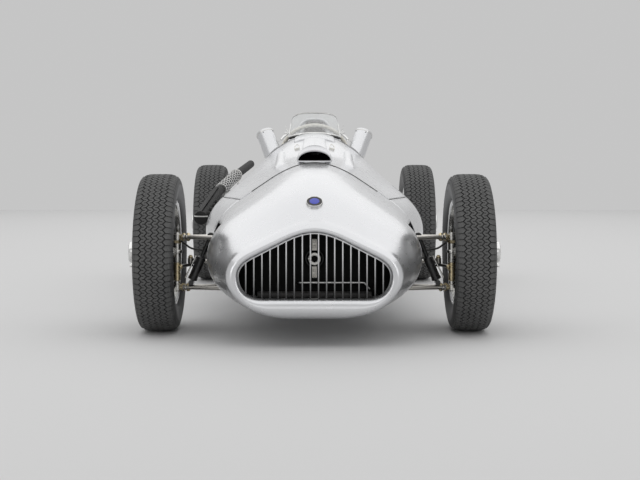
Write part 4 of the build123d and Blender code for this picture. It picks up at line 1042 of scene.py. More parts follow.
# %% [markdown]
# A wire wheel hangs its hub in a rim with two sets of crossed spokes. The rim and the hub are
# turned profiles. A spoke runs from a hole in the hub's flange to a nipple in the rim's well,
# leaning forwards or backwards; all spokes are one array of start and end points, and every
# spoke is the same short tube of a few faces placed between its two points.

# %% Rims and spokes
def rods(starts, ends, radius, sides=6):
    """Many straight rods at once: rings round each start and end, with a point at both tips."""
    starts, ends = np.asarray(starts, float), np.asarray(ends, float)
    run = (ends - starts) / np.linalg.norm(ends - starts, axis=1, keepdims=True)
    side = np.cross(run, [0.9, 0.3, 0.31])
    side /= np.linalg.norm(side, axis=1, keepdims=True)
    up = np.cross(run, side)
    angle = np.linspace(0, 2 * np.pi, sides, endpoint=False)
    ring = np.cos(angle)[:, None] * side[:, None] + np.sin(angle)[:, None] * up[:, None]
    wide = np.broadcast_to(np.asarray(radius, float), (2,))
    tips = [np.repeat(place[:, None], sides, 1) for place in (starts, ends)]
    rows = [tips[0], tips[0] + ring * wide[0], tips[1] + ring * wide[1], tips[1]]
    points = np.stack(rows, 1)
    faces = grid_faces(len(rows), sides, True, False)
    many = faces[None] + points[0].size // 3 * np.arange(len(starts))[:, None, None]
    return points.reshape(-1, 3), many.reshape(-1, 4)


SPOKE_SETS = [
    # count, hub x and radius, rim x and radius, lean, phase
    (12, 0.0595, 0.0430, 0.010, 0.1870, 0.42, 0.00), (12, 0.0605, 0.0430, 0.006, 0.1870, -0.42, 0.26),
    (24, 0.0035, 0.0435, -0.004, 0.1870, 0.34, 0.06), (24, 0.0045, 0.0435, -0.010, 0.1870, -0.34, 0.19),
]


def spoke_ends(count, x_hub, r_hub, x_rim, r_rim, lean, phase):
    """Start and end of count spokes: even round the hub, the rim end turned on by the lean."""
    a = np.linspace(0, 2 * np.pi, count, endpoint=False) + phase
    hub = np.stack([np.full(count, x_hub), r_hub * np.cos(a), r_hub * np.sin(a)], 1)
    b = a + lean
    return hub, np.stack([np.full(count, x_rim), r_rim * np.cos(b), r_rim * np.sin(b)], 1)


def wheel_rim(half):
    """Drop centre rim from flange to flange: rolled edge, bead seat, well."""
    side = np.array([
        (half - 0.0045, 0.2120), (half - 0.0025, 0.2185), (half + 0.0005, 0.2192), (half + 0.0008, 0.2150),
        (half - 0.0030, 0.2060), (half - 0.0060, 0.2030), (half * 0.62, 0.2018), (half * 0.50, 0.1925),
        (half * 0.40, 0.1880), (0.0, 0.1875),
    ])
    return turned(walled(np.concatenate([side * [-1, 1], side[-2::-1]]), 0.0030), steps=120, loop=True)


def wheel_spokes():
    """All spokes of a wheel, each with a tapered nipple at its outer end."""
    starts, ends = (np.concatenate(part) for part in zip(*[spoke_ends(*row) for row in SPOKE_SETS]))
    inwards = (starts - ends) / np.linalg.norm(starts - ends, axis=1, keepdims=True)
    nipples = rods(ends - inwards * 0.002, ends + inwards * 0.013, (0.0042, 0.0026))
    return joined(rods(starts, ends, 0.0019), nipples)


print("spokes in a wheel", sum(row[0] for row in SPOKE_SETS))

# %% [markdown]
# The hub is a turned barrel with two flanges for the spokes. It is held by a nut with two ears,
# which is knocked on and off with a mallet. An ear is a line that leaves the nut's side and
# swings outwards, with a rounded section that gets thinner and closes at the tip like a ball.
# Behind the spokes sits the brake drum, a cast pot with cooling fins round it.

# %% Hubs, eared nuts and drums
EAR_TURN = math.radians(58)
EAR_ROWS, EAR_SIDES = 22, 24
HUB_PROFILE = [
    (-0.024, 0.0), (-0.024, 0.031), (-0.022, 0.033), (-0.004, 0.033), (0.0, 0.036), (0.001, 0.0465),
    (0.0025, 0.0475), (0.0055, 0.0475), (0.007, 0.0465), (0.008, 0.037), (0.014, 0.034), (0.050, 0.032),
    (0.056, 0.036), (0.057, 0.0465), (0.0585, 0.0475), (0.0615, 0.0475), (0.063, 0.0465), (0.064, 0.038),
    (0.068, 0.036), (0.072, 0.0355), (0.072, 0.0),
]


def nut_ear(reach):
    """One ear: an oval section along a bent line, round at the tip, turned to its place."""
    t = np.linspace(0, 1, EAR_ROWS)
    path = np.stack([reach - 0.038 + 0.0300 * t**1.6, 0.018 + 0.0545 * t], 1)
    swell = np.sqrt(np.clip(1 - (np.clip(t - 0.72, 0, 1) / 0.28) ** 2, 0, 1))
    thick = ((0.0085 - 0.0030 * t) * swell)[:, None]
    deep = ((0.0150 - 0.0065 * t) * swell)[:, None]
    a = np.linspace(0, 2 * np.pi, EAR_SIDES, endpoint=False)
    level, upright = (np.sign(v) * np.abs(v) ** 0.7 for v in (np.sin(a), np.cos(a)))
    out = np.broadcast_to(path[:, 1:], (EAR_ROWS, EAR_SIDES))
    rows = np.stack([path[:, :1] + deep * level, out, thick * upright], -1)
    c, s = math.cos(EAR_TURN), math.sin(EAR_TURN)
    rows = rows @ np.array([[1, 0, 0], [0, c, s], [0, -s, c]])
    root = np.broadcast_to(rows[0].mean(0), (1, EAR_SIDES, 3))
    return sheet(np.concatenate([root, rows]), wrap=True)


def hub_and_nut(reach):
    """The hub barrel, the nut whose face stands at reach, and its two ears."""
    hub = turned(HUB_PROFILE, steps=72)
    nut = turned([
        (0.0715, 0.0), (0.0715, 0.0370), (0.0735, 0.0385), (0.080, 0.0385), (0.084, 0.0385),
        (reach - 0.039, 0.0395), (reach - 0.021, 0.0440), (reach - 0.010, 0.0450), (reach - 0.0040, 0.0435),
        (reach - 0.0010, 0.0395), (reach, 0.0330), (reach - 0.0015, 0.0300), (reach - 0.0035, 0.0280),
        (reach - 0.0040, 0.0),
    ], steps=72)
    ear = nut_ear(reach)
    opposite = ear[0] * [1, -1, -1], ear[1]
    return joined(hub, nut, ear, opposite)


def brake_drum(fins=4, first_fin=-0.040, fin_pitch=0.0066):
    """A drum with trapezoid fins round it, one wall thick, behind the spokes."""
    line = [(-0.043, 0.100), (-0.043, 0.1515), (-0.041, 0.1535)]
    for k in range(fins):
        x = first_fin + fin_pitch * k
        line += [(x, 0.1490), (x + 0.0012, 0.1550), (x + 0.0030, 0.1550), (x + 0.0042, 0.1490)]
    line += [(-0.0135, 0.1500), (-0.0125, 0.1480), (-0.0122, 0.060), (-0.011, 0.045), (-0.011, 0.034)]
    return turned(walled(line, 0.0035), steps=96, loop=True)


WHEEL_SIZES = {"front": (0.0664, 0.1335), "rear": (0.0736, 0.1240)}
spokes, drum = wheel_spokes(), brake_drum()
for end, side, hub in WHEELS:
    half_rim, nut_reach = WHEEL_SIZES[end]
    name, body = f"{end}_{side}", f"wheel_{end}_{side}"
    piece(f"{name}_rim", on_side(wheel_rim(half_rim), hub, side), body, plating,
          [f"{end}_wheel_{side}"])
    piece(f"{name}_spokes", on_side(spokes, hub, side), body, plating)
    piece(f"{name}_hub_and_nut", on_side(hub_and_nut(nut_reach), hub, side), body, plating)
    piece(f"{name}_drum", on_side(drum, hub, side), body, cast_metal)
print("wheel quads", {name: count for name, count in made.items() if name.startswith("front_left")})

# %% [markdown]
# The radiator mouth is closed by upright bars. Each is a flat oval rod, so that it has one
# bright edge and one dark edge like the real ones, and it runs from the lower to the upper edge
# of the mouth. The mouth's outline is the lip's own curve, so bars and lip always meet. A painted
# shade darkens the plating's colour towards the lower ends, where the bars mirror the shaded ground.

# %% Grille bars
GRILLE_Y, BAR_PITCH, BAR_COUNT, BAR_SIDES = FRONT_AXLE_Y - 0.5295, 0.031, 18, 14
MOUTH_MIDDLE_Z = 0.31
mouth = half_outline(LIP_ROWS[5:6, 1:].reshape(1, 4, 2))[0]
widest = int(np.argmax(mouth[:, 0]))


def bar(x, half_wide=0.0030, half_deep=0.0024):
    """An oval rod upright at x: rings of (cos, sin) from the mouth's low edge to its high edge."""
    low = np.interp(abs(x), mouth[:widest, 0], mouth[:widest, 1]) - 0.001
    high = np.interp(-abs(x), -mouth[widest:, 0], mouth[widest:, 1]) + 0.001
    a = np.linspace(0, 2 * np.pi, BAR_SIDES, endpoint=False)
    open_ring = np.array([0, 1, 1, 0])[:, None]
    z = np.broadcast_to(np.array([low, low, high, high])[:, None], (4, BAR_SIDES))
    rows = [x + half_wide * open_ring * np.cos(a), GRILLE_Y + half_deep * open_ring * np.sin(a), z]
    return sheet(np.stack(rows, -1), wrap=True)


bar_places = (np.arange(BAR_COUNT) - (BAR_COUNT - 1) / 2) * BAR_PITCH
frame_line = np.concatenate([mouth, mouth[::-1] * [-1, 1]])
frame_z = (frame_line[:, 1] - MOUTH_MIDDLE_Z) * 0.99 + MOUTH_MIDDLE_Z
frame_line = np.stack([frame_line[:, 0] * 0.993, np.full(len(frame_line), GRILLE_Y), frame_z], 1)
bars = joined(*[bar(x) for x in bar_places], tube(frame_line, 0.003, 8))

bar_plating = finish("bar plating with painted shade", (0.82, 0.82, 0.83), 1.0, (0.10, 0.20), marks=120.0, dust=0.1)
tree = bar_plating.node_tree
shader = tree.nodes["Principled BSDF"]
# Painted shade: the base colour falls to a tenth towards the bars' lower ends.
height_of = node(tree, "SeparateXYZ", {0: object_place(tree)})
shade = remap(tree, height_of.outputs["Z"], (0.20, 0.36), (0.10, 1.0))
dimmed = node(tree, "VectorMath", {0: feeding(shader, "Base Color"), "Scale": shade}, operation="SCALE")
tree.links.new(dimmed.outputs[0], shader.inputs["Base Color"])
piece("grille_bars", bars, "chassis", bar_plating, ["grille"])
print("bars", BAR_COUNT, "quads", made["grille_bars"])

# %% [markdown]
# The badge is a small round medal on the nose: a bright rolled rim, a dark band inside it and a
# field of enamel that bulges a little. It is bare on purpose. All three are turned profiles
# about the normal of the bodywork.

# %% Nose badge
BADGE = np.array([0.0, FRONT_AXLE_Y - 0.410, 0.556])
BADGE_SLOPE = math.radians(34)
badge_normal = np.array([0, -math.sin(BADGE_SLOPE), math.cos(BADGE_SLOPE)])
BADGE_PARTS = [
    # piece, finish, closed, profile
    ("badge_rim", plating, True, [
        (-0.012, 0.0), (-0.012, 0.0338), (0.0020, 0.0340), (0.0036, 0.0332), (0.0038, 0.0320),
        (0.0030, 0.0308), (0.0026, 0.0306), (0.0026, 0.0)]),
    ("badge_field", enamel, True, [
        (0.0020, 0.0), (0.0020, 0.0196), (0.0038, 0.0192), (0.0046, 0.0120), (0.0048, 0.0)]),
    ("badge_dark_band", dark_ring, False, [
        (0.0020, 0.0170), (0.0020, 0.0304), (0.0030, 0.0300), (0.0034, 0.0200), (0.0030, 0.0170)]),
]
for name, finished, closed, profile in BADGE_PARTS:
    replaced = ["badge"] if name == "badge_rim" else ()
    shape = turned_about(profile, BADGE, BADGE + badge_normal, 72)
    piece(name, shape, "chassis", finished, replaced, closed=closed)
print("badge at", BADGE)

# %% [markdown]
# The windscreen is a small sheet of clear acrylic bent round a leaning cylinder. Each point of
# it is found from how far across and how high it is: the bend pushes it back by the radius less
# its cosine share, and the lean pushes it back as it rises. The same formula carries all that
# belongs to the screen, so that it fits without measuring: the bright strip along its foot, the
# thin bright edges at its sides, a black tube under the strip that paints the shadow line below
# it, and the upright flange of painted sheet that closes the step between that tube and the
# scuttle. The upper edge is bare and polished.

# %% Windscreen
SCREEN_S, SCREEN_BASE, SCREEN_SIDE_TOP, SCREEN_TOP = 1.290, 0.848, 0.930, 0.9705
SCREEN_HALF, SCREEN_TAPER, SCREEN_BEND, SCREEN_LEAN = 0.134, 0.014, 0.195, math.radians(28)
SIDE_EDGE_ROWS = 13


def screen_point(x, z, out=0.0):
    """Point of the screen at a width and a height, moved out along the bend's radius."""
    radius = SCREEN_BEND + out
    back = SCREEN_BEND - np.sqrt(radius**2 - x**2)
    rise = (z - SCREEN_BASE + back * math.sin(SCREEN_LEAN)) / math.cos(SCREEN_LEAN)
    y = FRONT_AXLE_Y + SCREEN_S + back * math.cos(SCREEN_LEAN) + rise * math.sin(SCREEN_LEAN)
    return np.stack([x, y, z], -1)


def screen_width(z):
    """Half width of the screen at a height: it narrows evenly upwards."""
    return SCREEN_HALF - SCREEN_TAPER * (z - SCREEN_BASE) / (SCREEN_SIDE_TOP - SCREEN_BASE)


def scuttle_line(x):
    """Height of the scuttle below the screen at each width, found by three steps."""
    z = np.full_like(x, SCREEN_BASE)
    for _ in range(3):
        place = screen_point(x, z)
        z = np.array([skin_height(a, b - FRONT_AXLE_Y) for a, b in zip(x, place[:, 1])])
    return z


share = sine_spaced(57)
base_x = share * SCREEN_HALF
on_skin = scuttle_line(base_x)
foot = on_skin + 0.008 + 0.45 * (on_skin.max() - on_skin)
top = SCREEN_SIDE_TOP + (SCREEN_TOP - SCREEN_SIDE_TOP) * np.clip(1 - np.abs(share) ** 3.4, 0, 1) ** 0.42
height = foot + (top - foot) * np.linspace(0, 1, 16)[:, None]
pane_grid = screen_point(share * screen_width(height), height, -0.002)
pane = piece("windscreen_pane", sheet(pane_grid), "chassis", clear_screen, ["windscreen"],
             closed=False)
thickened(pane, 0.0035, 0.0)
strip = tube(screen_point(base_x, foot + 0.0035, 0.0005), 0.0050, 12)
sides = [tube(pane_grid[:SIDE_EDGE_ROWS, column] - [0, 0.001, 0], 0.0034, 8) for column in (0, -1)]
piece("windscreen_binding", joined(strip, *sides), "chassis", plating, ["windscreen_strip"])
# Painted shadow: a black tube along the line under the strip, where the screen's foot casts its shadow.
foot_shadow_line = tube(screen_point(base_x, foot - 0.0045, 0.0020), 0.0036, 10)
piece("windscreen_foot_shadow", foot_shadow_line, "chassis", rubber_and_shadow_black)
flange_height = on_skin - 0.008 + (foot - on_skin + 0.004) * np.linspace(0, 1, 4)[:, None]
flange_grid = screen_point(np.broadcast_to(base_x, flange_height.shape), flange_height, -0.002)
flange = piece("windscreen_flange", sheet(flange_grid), "chassis", silver_paint, closed=False)
thickened(flange, 0.0020, 0.0)
print("screen foot", round(float(foot.min()), 3), round(float(foot.max()), 3))

# %% [markdown]
# Two stays hold the screen's lower corners. A stay is a short bent rod from a disc on the
# scuttle to a boss at the screen, with a thin finger up the screen's edge and a wing nut that
# clamps it. The nut's ears are squashed balls.

# %% Screen stays with wing nuts
STAY_TOP, STAY_FOOT = np.array([0.139, 0.071, 0.857]), np.array([0.176, 0.046, 0.826])


def wing_nut(centre, towards):
    """A turned boss with two flat ears: each ear a squashed ball beside the boss."""
    boss_profile = [(-0.004, 0), (-0.004, 0.0055), (0.006, 0.0045), (0.008, 0.003), (0.008, 0)]
    boss = turned_about(boss_profile, centre, towards, 16)
    u, w = np.linspace(0, np.pi, 9)[:, None], np.linspace(0, 2 * np.pi, 14, endpoint=False)
    ball = np.stack([np.cos(u) + 0 * w, np.sin(u) * np.cos(w), np.sin(u) * np.sin(w)], -1)
    ball *= [0.008, 0.0018, 0.006]
    ears = [sheet(ball + centre + [side * 0.009, 0, 0.004], wrap=True) for side in (-1, 1)]
    return joined(boss, *ears)


stay_middle = STAY_TOP * 0.5 + STAY_FOOT * 0.5 + [0.003, 0, 0.003]
finger = STAY_TOP + np.array([(0.003, -0.004, 0.002), (0.006, -0.004, 0.022), (0.013, -0.003, 0.046)])
nut_place = STAY_TOP + [0.004, -0.009, 0.002]
stay = joined(
    tube([STAY_TOP, stay_middle, STAY_FOOT], 0.0062, 12),
    turned_about([(0, 0), (0, 0.013), (0.003, 0.013), (0.004, 0.009), (0.004, 0)],
                 STAY_FOOT + [0.002, 0, -0.005], STAY_FOOT + [0.014, 0, 0.03], 20),
    turned_about([(-0.006, 0), (-0.006, 0.008), (0.006, 0.008), (0.006, 0)], STAY_TOP,
                 STAY_TOP + [0, 1, 0], 20),
    tube(finger, [0.0035, 0.003, 0.0022], 10),
    wing_nut(nut_place, nut_place - [0, 0.091, 0]),
)
piece("screen_stays", both(stay), "chassis", plating)
print("stays", made["screen_stays"])

# %% [markdown]
# The front uprights and everything that turns with them are machined and plated parts: a
# kingpin in sleeves, nuts and collars, a boss for the stub axle and the black backplate of the
# brake. A turned profile holds all of them, as it does on the lathe, and each ring of the
# profile is one step of the turning. The working clearances of the CAD pins stay.

# %% Front uprights
KINGPIN_X, ARM_HIGH, ARM_LOW, HUB_HEIGHT = 0.582, 0.394, 0.182, 0.330
kingpin = np.array([KINGPIN_X, FRONT_AXLE_Y, 0.0])
hub_place = np.array([KINGPIN_X, FRONT_AXLE_Y, HUB_HEIGHT])
ROD_END = np.array([0.536, -1.180, 0.282])

upright = turned([
    (0.1612, 0), (0.1612, 0.0115), (0.1690, 0.0125), (0.1698, 0.0082), (0.1943, 0.0082), (0.1946, 0.0125),
    (0.2000, 0.0135), (0.2060, 0.0125), (0.2090, 0.0095), (0.2860, 0.0095), (0.2865, 0.0160),
    (0.2890, 0.0172), (0.3225, 0.0172), (0.3235, 0.0160), (0.3255, 0.0160), (0.3262, 0.0205),
    (0.3275, 0.0215), (0.3385, 0.0215), (0.3398, 0.0205), (0.3405, 0.0165), (0.3670, 0.0165),
    (0.3680, 0.0140), (0.3800, 0.0140), (0.3815, 0.0120), (0.3817, 0.0082), (0.4062, 0.0082),
    (0.4064, 0.0125), (0.4140, 0.0115), (0.4153, 0),
], kingpin, "z", 48)
stub_axle = turned([
    (0.0, 0), (0.0, 0.021), (0.003, 0.024), (0.0185, 0.024), (0.019, 0.013), (0.126, 0.013),
    (0.128, 0.011), (0.128, 0),
], hub_place, "x", 40)
arm_line = [(KINGPIN_X, FRONT_AXLE_Y, 0.267), (0.560, -1.236, 0.2668), (0.536, -1.180, 0.2667)]
steering_arm = joined(
    tube(smooth_path(arm_line, 14), np.linspace(0.0085, 0.0062, 14), 14),
    turned([(0.2597, 0), (0.2597, 0.0105), (0.2610, 0.012), (0.2725, 0.012), (0.2737, 0.0105), (0.2737, 0)],
           ROD_END * [1, 1, 0], "z", 28),
)
print("upright", len(upright[1]), "quads")

# %% [markdown]
# Sleeves and nuts of pale brass sit on the kingpin: a long sleeve in two steps below the hub, a
# six sided nut above it, and a round plug in front. The brake's backplate is a disc with
# pressed rings that stiffen it; six bolts hold it from the inner side.

# %% Brass fittings, backplate and its bolts
BOLT_CIRCLE, BACKPLATE_X = 0.052, 0.6005
brass_parts = joined(
    turned([(0.2100, 0.0090), (0.2100, 0.0140), (0.2112, 0.0152), (0.2420, 0.0155), (0.2430, 0.0125),
            (0.2480, 0.0125), (0.2490, 0.0155), (0.2780, 0.0155), (0.2790, 0.0178), (0.2855, 0.0178),
            (0.2860, 0.0090)], kingpin, "z", 40, loop=True),
    turned([(0.3682, 0.0120), (0.3684, 0.0172), (0.3700, 0.0186), (0.3778, 0.0186), (0.3794, 0.0172),
            (0.3796, 0.0120)], kingpin, "z", 6, loop=True),
    turned([(-0.0105, 0), (-0.0095, 0.0045), (-0.006, 0.0086), (0, 0.0105), (0.006, 0.0086),
            (0.0095, 0.0045), (0.0105, 0)], (0.566, -1.311, 0.268), "z", 20),
)
backplate = turned([
    (0.6005, 0.024), (0.6005, 0.0835), (0.6035, 0.0880), (0.6035, 0.1190), (0.6005, 0.1235),
    (0.6005, 0.1500), (0.5985, 0.1523), (0.6040, 0.1525), (0.6050, 0.1490), (0.6050, 0.1240),
    (0.6078, 0.1200), (0.6078, 0.0870), (0.6050, 0.0825), (0.6050, 0.0240),
], (0, FRONT_AXLE_Y, HUB_HEIGHT), "x", 96, loop=True)
bolts = []
for a in np.linspace(0, 2 * np.pi, 6, endpoint=False):
    out_y, out_z = BOLT_CIRCLE * math.cos(a), BOLT_CIRCLE * math.sin(a)
    spot = np.array([BACKPLATE_X, FRONT_AXLE_Y + out_y, HUB_HEIGHT + out_z])
    bolts.append(turned_about([(0, 0), (0, 0.0062), (0.0035, 0.0062), (0.0042, 0.0052), (0.0042, 0)],
                              spot, spot - [1, 0, 0], 6))
KNUCKLE_PARTS = [
    # piece, shape, finish, slot, angle of crisp edges
    ("upright", joined(upright, stub_axle), bright_steel, "steel", 38),
    ("brass_fittings", brass_parts, brass, "steel", 25),
    ("backplate", joined(backplate, *bolts), black_paint, "black_paint", 30),
    ("steering_arm", steering_arm, black_paint, "black_paint", 38),
]
for side in ("left", "right"):
    for name, shape, finished, slot, crisp in KNUCKLE_PARTS:
        replaced = [f"knuckle_{side}"] if name == "upright" else ()
        piece(f"{side}_{name}", mirrored(shape) if side == "right" else shape, f"knuckle_{side}", finished,
              replaced, crisp=crisp)
print("uprights", made["left_upright"], made["left_brass_fittings"])

# %% [markdown]
# The wishbones are plain tubes that end in plated eyes. Lock nuts and collars sit where a leg
# screws into its eye and where it meets the frame. Each is a small turned part whose axis is
# the leg's own line, so it is given by two points and a distance along the leg. A stepped
# fitting of brass closes the inner side of each eye.

# %% Wishbone ends
TOWER_X, LEG_SPREAD, LEG_RADIUS = 0.262, 0.090, 0.009
EYE_RING = [(-0.0121, 0.0086), (-0.0121, 0.0140), (-0.0110, 0.0158), (0.0110, 0.0158), (0.0121, 0.0140),
            (0.0121, 0.0086)]
EYE_FITTING = [
    (0.0130, 0.0), (0.0130, 0.0115), (0.0190, 0.0120), (0.0215, 0.0158), (0.0240, 0.0172),
    (0.0310, 0.0172), (0.0335, 0.0155), (0.0350, 0.0132), (0.0385, 0.0132), (0.0405, 0.0155),
    (0.0440, 0.0178), (0.0480, 0.0182), (0.0520, 0.0172), (0.0550, 0.0140), (0.0565, 0.0120), (0.0565, 0.0),
]


def collar_on(start, towards, at, length, radius, sides=32, bore=LEG_RADIUS):
    """A ring with rounded ends round a leg, from a distance along it, a little over the leg."""
    edge = min(0.0012, radius - bore)
    profile = [(at, bore), (at, radius - edge), (at + edge, radius), (at + length - edge, radius),
               (at + length, radius - edge), (at + length, bore)]
    return turned_about(profile, start, towards, sides)


plated_ends, brass_ends = [], []
for height in (ARM_HIGH, ARM_LOW):
    eye = np.array([KINGPIN_X, FRONT_AXLE_Y, height])
    plated_ends.append(turned(EYE_RING, eye, "z", 40, loop=True))
    for side in (-1, 1):
        foot = np.array([TOWER_X, FRONT_AXLE_Y + side * LEG_SPREAD, height])
        leg = math.dist(eye, foot)
        brass_ends.append(collar_on(eye, foot, 0.0155, 0.012, 0.0118, 28))
        collars = [
            # distance along the leg, length, radius, sides
            (0.0285, 0.007, 0.0138, 6), (0.0370, 0.010, 0.0108, 24),
            (leg - 0.0330, 0.008, 0.0150, 6), (leg - 0.0240, 0.0225, 0.0125, 24),
        ]
        plated_ends += [collar_on(eye, foot, *collar) for collar in collars]
    brass_ends.append(turned_about(EYE_FITTING, eye, eye - [1, 0, 0], 40))
print("wishbone parts", len(plated_ends), len(brass_ends))

# %% [markdown]
# The dampers are CAD tubes. They get a ring where the cover ends, a second one at the foot, a
# cross bolt in the upper eye, a bolt with six sided heads in the lower one, and a thin plated
# rod that runs beside the cylinder.

# %% Damper rings and bolts
DAMPER_TOP, DAMPER_FOOT = np.array([0.440, FRONT_AXLE_Y, 0.400]), np.array([0.521, FRONT_AXLE_Y, 0.206])
reach = math.dist(DAMPER_TOP, DAMPER_FOOT)
# Distances along the damper are shares of its length.
COVER_RING = [(0.46, 0.0090), (0.465, 0.0130), (0.478, 0.0160), (0.482, 0.0200), (0.520, 0.0205),
              (0.524, 0.0188)]
FOOT_RING = [(0.90, 0.0188), (0.905, 0.0203), (0.955, 0.0203), (0.962, 0.0150)]


def both_ends(half_profile):
    """A profile from its outer half: the same steps follow in reverse on the other side."""
    half = np.array(half_profile)
    return np.concatenate([half, half[::-1] * [-1, 1]])


rings = [turned_about(np.array(ring) * [reach, 1], DAMPER_TOP, DAMPER_FOOT, 36)
         for ring in (COVER_RING, FOOT_RING)]
cross_bolt = turned(both_ends([(-0.020, 0), (-0.020, 0.0072), (-0.0186, 0.0078), (-0.0125, 0.0078),
                               (-0.0123, 0.0130)]), DAMPER_TOP, "y", 28)
damper_rings = joined(*rings, cross_bolt)
eye_bolts = turned(both_ends([(-0.019, 0), (-0.019, 0.0085), (-0.0125, 0.0092), (-0.0115, 0.0092),
                              (-0.0110, 0.0060)]), DAMPER_FOOT, "y", 6)
rod_start = DAMPER_TOP + 0.46 * (DAMPER_FOOT - DAMPER_TOP) + [0.024, -0.004, 0.004]
side_rod = tube([rod_start, DAMPER_FOOT + [0.026, -0.004, 0.016]], 0.0032, 12)
piece("wishbone_plated_ends", both(joined(*plated_ends, eye_bolts, side_rod)), "chassis", bright_steel,
      crisp=30)
piece("wishbone_brass_nuts", both(joined(*brass_ends)), "chassis", brass, crisp=30)
piece("damper_rings", both(damper_rings), "chassis", black_paint, crisp=30)
print("wishbone ends", made["wishbone_plated_ends"])

# %% [markdown]
# The track rod ends in a black joint over each steering arm: two lock nuts, a grease boot and a
# castle nut on top. A hose brings the fluid from a pipe on the chassis to the moving brake, so
# on the car it bends as the wheel steers; here it is a fixed tube that rides no body.

# %% Track rod ends and brake hoses
ROD_BORE = 0.0079
inwards = ROD_END - [1, 0, 0]
rod_nuts = joined(
    collar_on(ROD_END, inwards, 0.030, 0.009, 0.0128, 6, ROD_BORE),
    collar_on(ROD_END, inwards, 0.0395, 0.006, 0.0105, 24, ROD_BORE),
    turned([(0.0, 0), (0.0, 0.0098), (0.0012, 0.0104), (0.0068, 0.0104), (0.0078, 0.0092), (0.0105, 0.0080),
            (0.0112, 0.0056), (0.0135, 0.0050), (0.0140, 0)], ROD_END + [0, 0, 0.0139], "z", 18),
)
joint_boot = turned_about([(0.010, ROD_BORE), (0.011, 0.0112), (0.016, 0.0122), (0.024, 0.0118),
                           (0.0295, 0.0100), (0.0300, ROD_BORE)], ROD_END, inwards, 28)
piece("track_rod_nuts", both(rod_nuts), "track_rod", brass, crisp=25)
piece("track_rod_boots", both(joint_boot), "track_rod", black_paint, crisp=30)

HOSE_ROUTE = np.array([(0.395, -1.262, 0.330), (0.440, -1.262, 0.331), (0.4725, -1.262, 0.335),
                       (0.525, -1.262, 0.344), (0.556, -1.260, 0.366), (0.575, -1.257, 0.378),
                       (0.6015, -1.255, 0.380)])
for side, sign in (("left", 1), ("right", -1)):
    line = smooth_path(HOSE_ROUTE * [sign, 1, 1], 40)
    hose = piece(f"{side}_brake_hose", tube(line, 0.0042, 12), None, rubber_and_shadow_black)
    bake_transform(hose)
print("track rod", made["track_rod_nuts"])

# %% [markdown]
# The exhaust is a pipe with a heat proof matt coat. Its middle is covered by a silver guard
# with rows of real slots, through which the dark pipe shows. The guard is a grid of cells round
# a line. Each cell is a ring of eight quads between its own border and a slot with round
# corners, and every second row of cells is moved on by half a cell, so that the borders still
# share their points. A plain band closes the guard at both ends.

# %% Exhaust guard
PIPE_FRONT, PIPE_BEND, PIPE_REAR = (np.array([x, FRONT_AXLE_Y + s, z]) for s, x, z in
                                    ((0.762, -0.546, 0.441), (1.400, -0.504, 0.556), (2.100, -0.452, 0.636)))
GUARD_RADIUS, CELLS_AROUND, CELL_LENGTH, SLOT_HALF = 0.0325, 14, 0.054, (0.41, 0.40)
k = np.arange(8)
RING_OF_EIGHT = np.stack([k, (k + 1) % 8, (k + 1) % 8 + 8, k + 8], 1)


def across_line(start, end):
    """Unit vectors of a line: along it, level across it to the car's left, and the third one."""
    along = (end - start) / math.dist(start, end)
    level = np.array([1.0, 0, 0]) - along[0] * along
    level /= np.linalg.norm(level)
    return along, level, np.cross(along, level)


def slotted_tube(start, end):
    """Cells round a line: border points at eight places of a cell, slot points inside them.

    A slot point takes the root of the cosine and of the sine, which gives a rectangle with
    well rounded corners."""
    along, level, up = across_line(start, end)
    length = math.dist(start, end)
    rows = int(length / CELL_LENGTH)
    border = np.array([(-.5, -.5), (0, -.5), (.5, -.5), (.5, 0), (.5, .5), (0, .5), (-.5, .5), (-.5, 0)])
    angle = np.arctan2(border[:, 1], border[:, 0])
    rounded = np.sqrt(np.abs(np.stack([np.cos(angle), np.sin(angle)], 1)))
    slot = SLOT_HALF * np.sign(border) * rounded
    u, v = np.meshgrid(np.arange(CELLS_AROUND), np.arange(rows), indexing="ij")
    cell = np.stack([u + 0.5 * (v % 2), v + 0.5], -1).reshape(-1, 1, 2)
    ring = np.concatenate([cell + border, cell + slot], 1)
    theta = (2 * np.pi / CELLS_AROUND * ring[..., 0])[..., None]
    distance = (ring[..., 1] / rows * length)[..., None]
    points = start + distance * along + GUARD_RADIUS * (np.cos(theta) * level + np.sin(theta) * up)
    faces = (RING_OF_EIGHT[None] + 16 * np.arange(len(points))[:, None, None]).reshape(-1, 4)
    return points.reshape(-1, 3), faces


guard_run = PIPE_REAR - PIPE_BEND
guard_start, guard_end = PIPE_BEND + 0.06 * guard_run, PIPE_BEND + 0.97 * guard_run
net = slotted_tube(guard_start + 0.010 * guard_run, guard_end - 0.010 * guard_run)
guard = piece("exhaust_guard_net", net, "chassis", guard_silver, ["exhaust_guard"], closed=False,
              crisp=60, weld=2e-5)
thickened(guard, 0.0012, 0.0)
END_BAND = np.array([(0, 0.0243), (0, 0.0322), (0.0010, 0.0330), (0.0110, 0.0330), (0.0120, 0.0322),
                     (0.0120, 0.0243)])
guard_ends = [turned_about(END_BAND + [begin, 0], guard_start, guard_end, 48)
              for begin in (0.0, math.dist(guard_start, guard_end) - 0.012)]
print("guard", made["exhaust_guard_net"], "cells", len(net[1]) // 8)

# %% [markdown]
# The front of the pipe is a half round shroud with a closed end. A bulging cap closes it, and a
# bright rolled lip lies level across the cap; its line bulges with the cap by a root formula.
# Near the guard's rear end a plated clamp goes round it. Two rods carry the clamp on a black
# foot on the bodywork, and a black ring marks where the pipe leaves the guard's end bands.

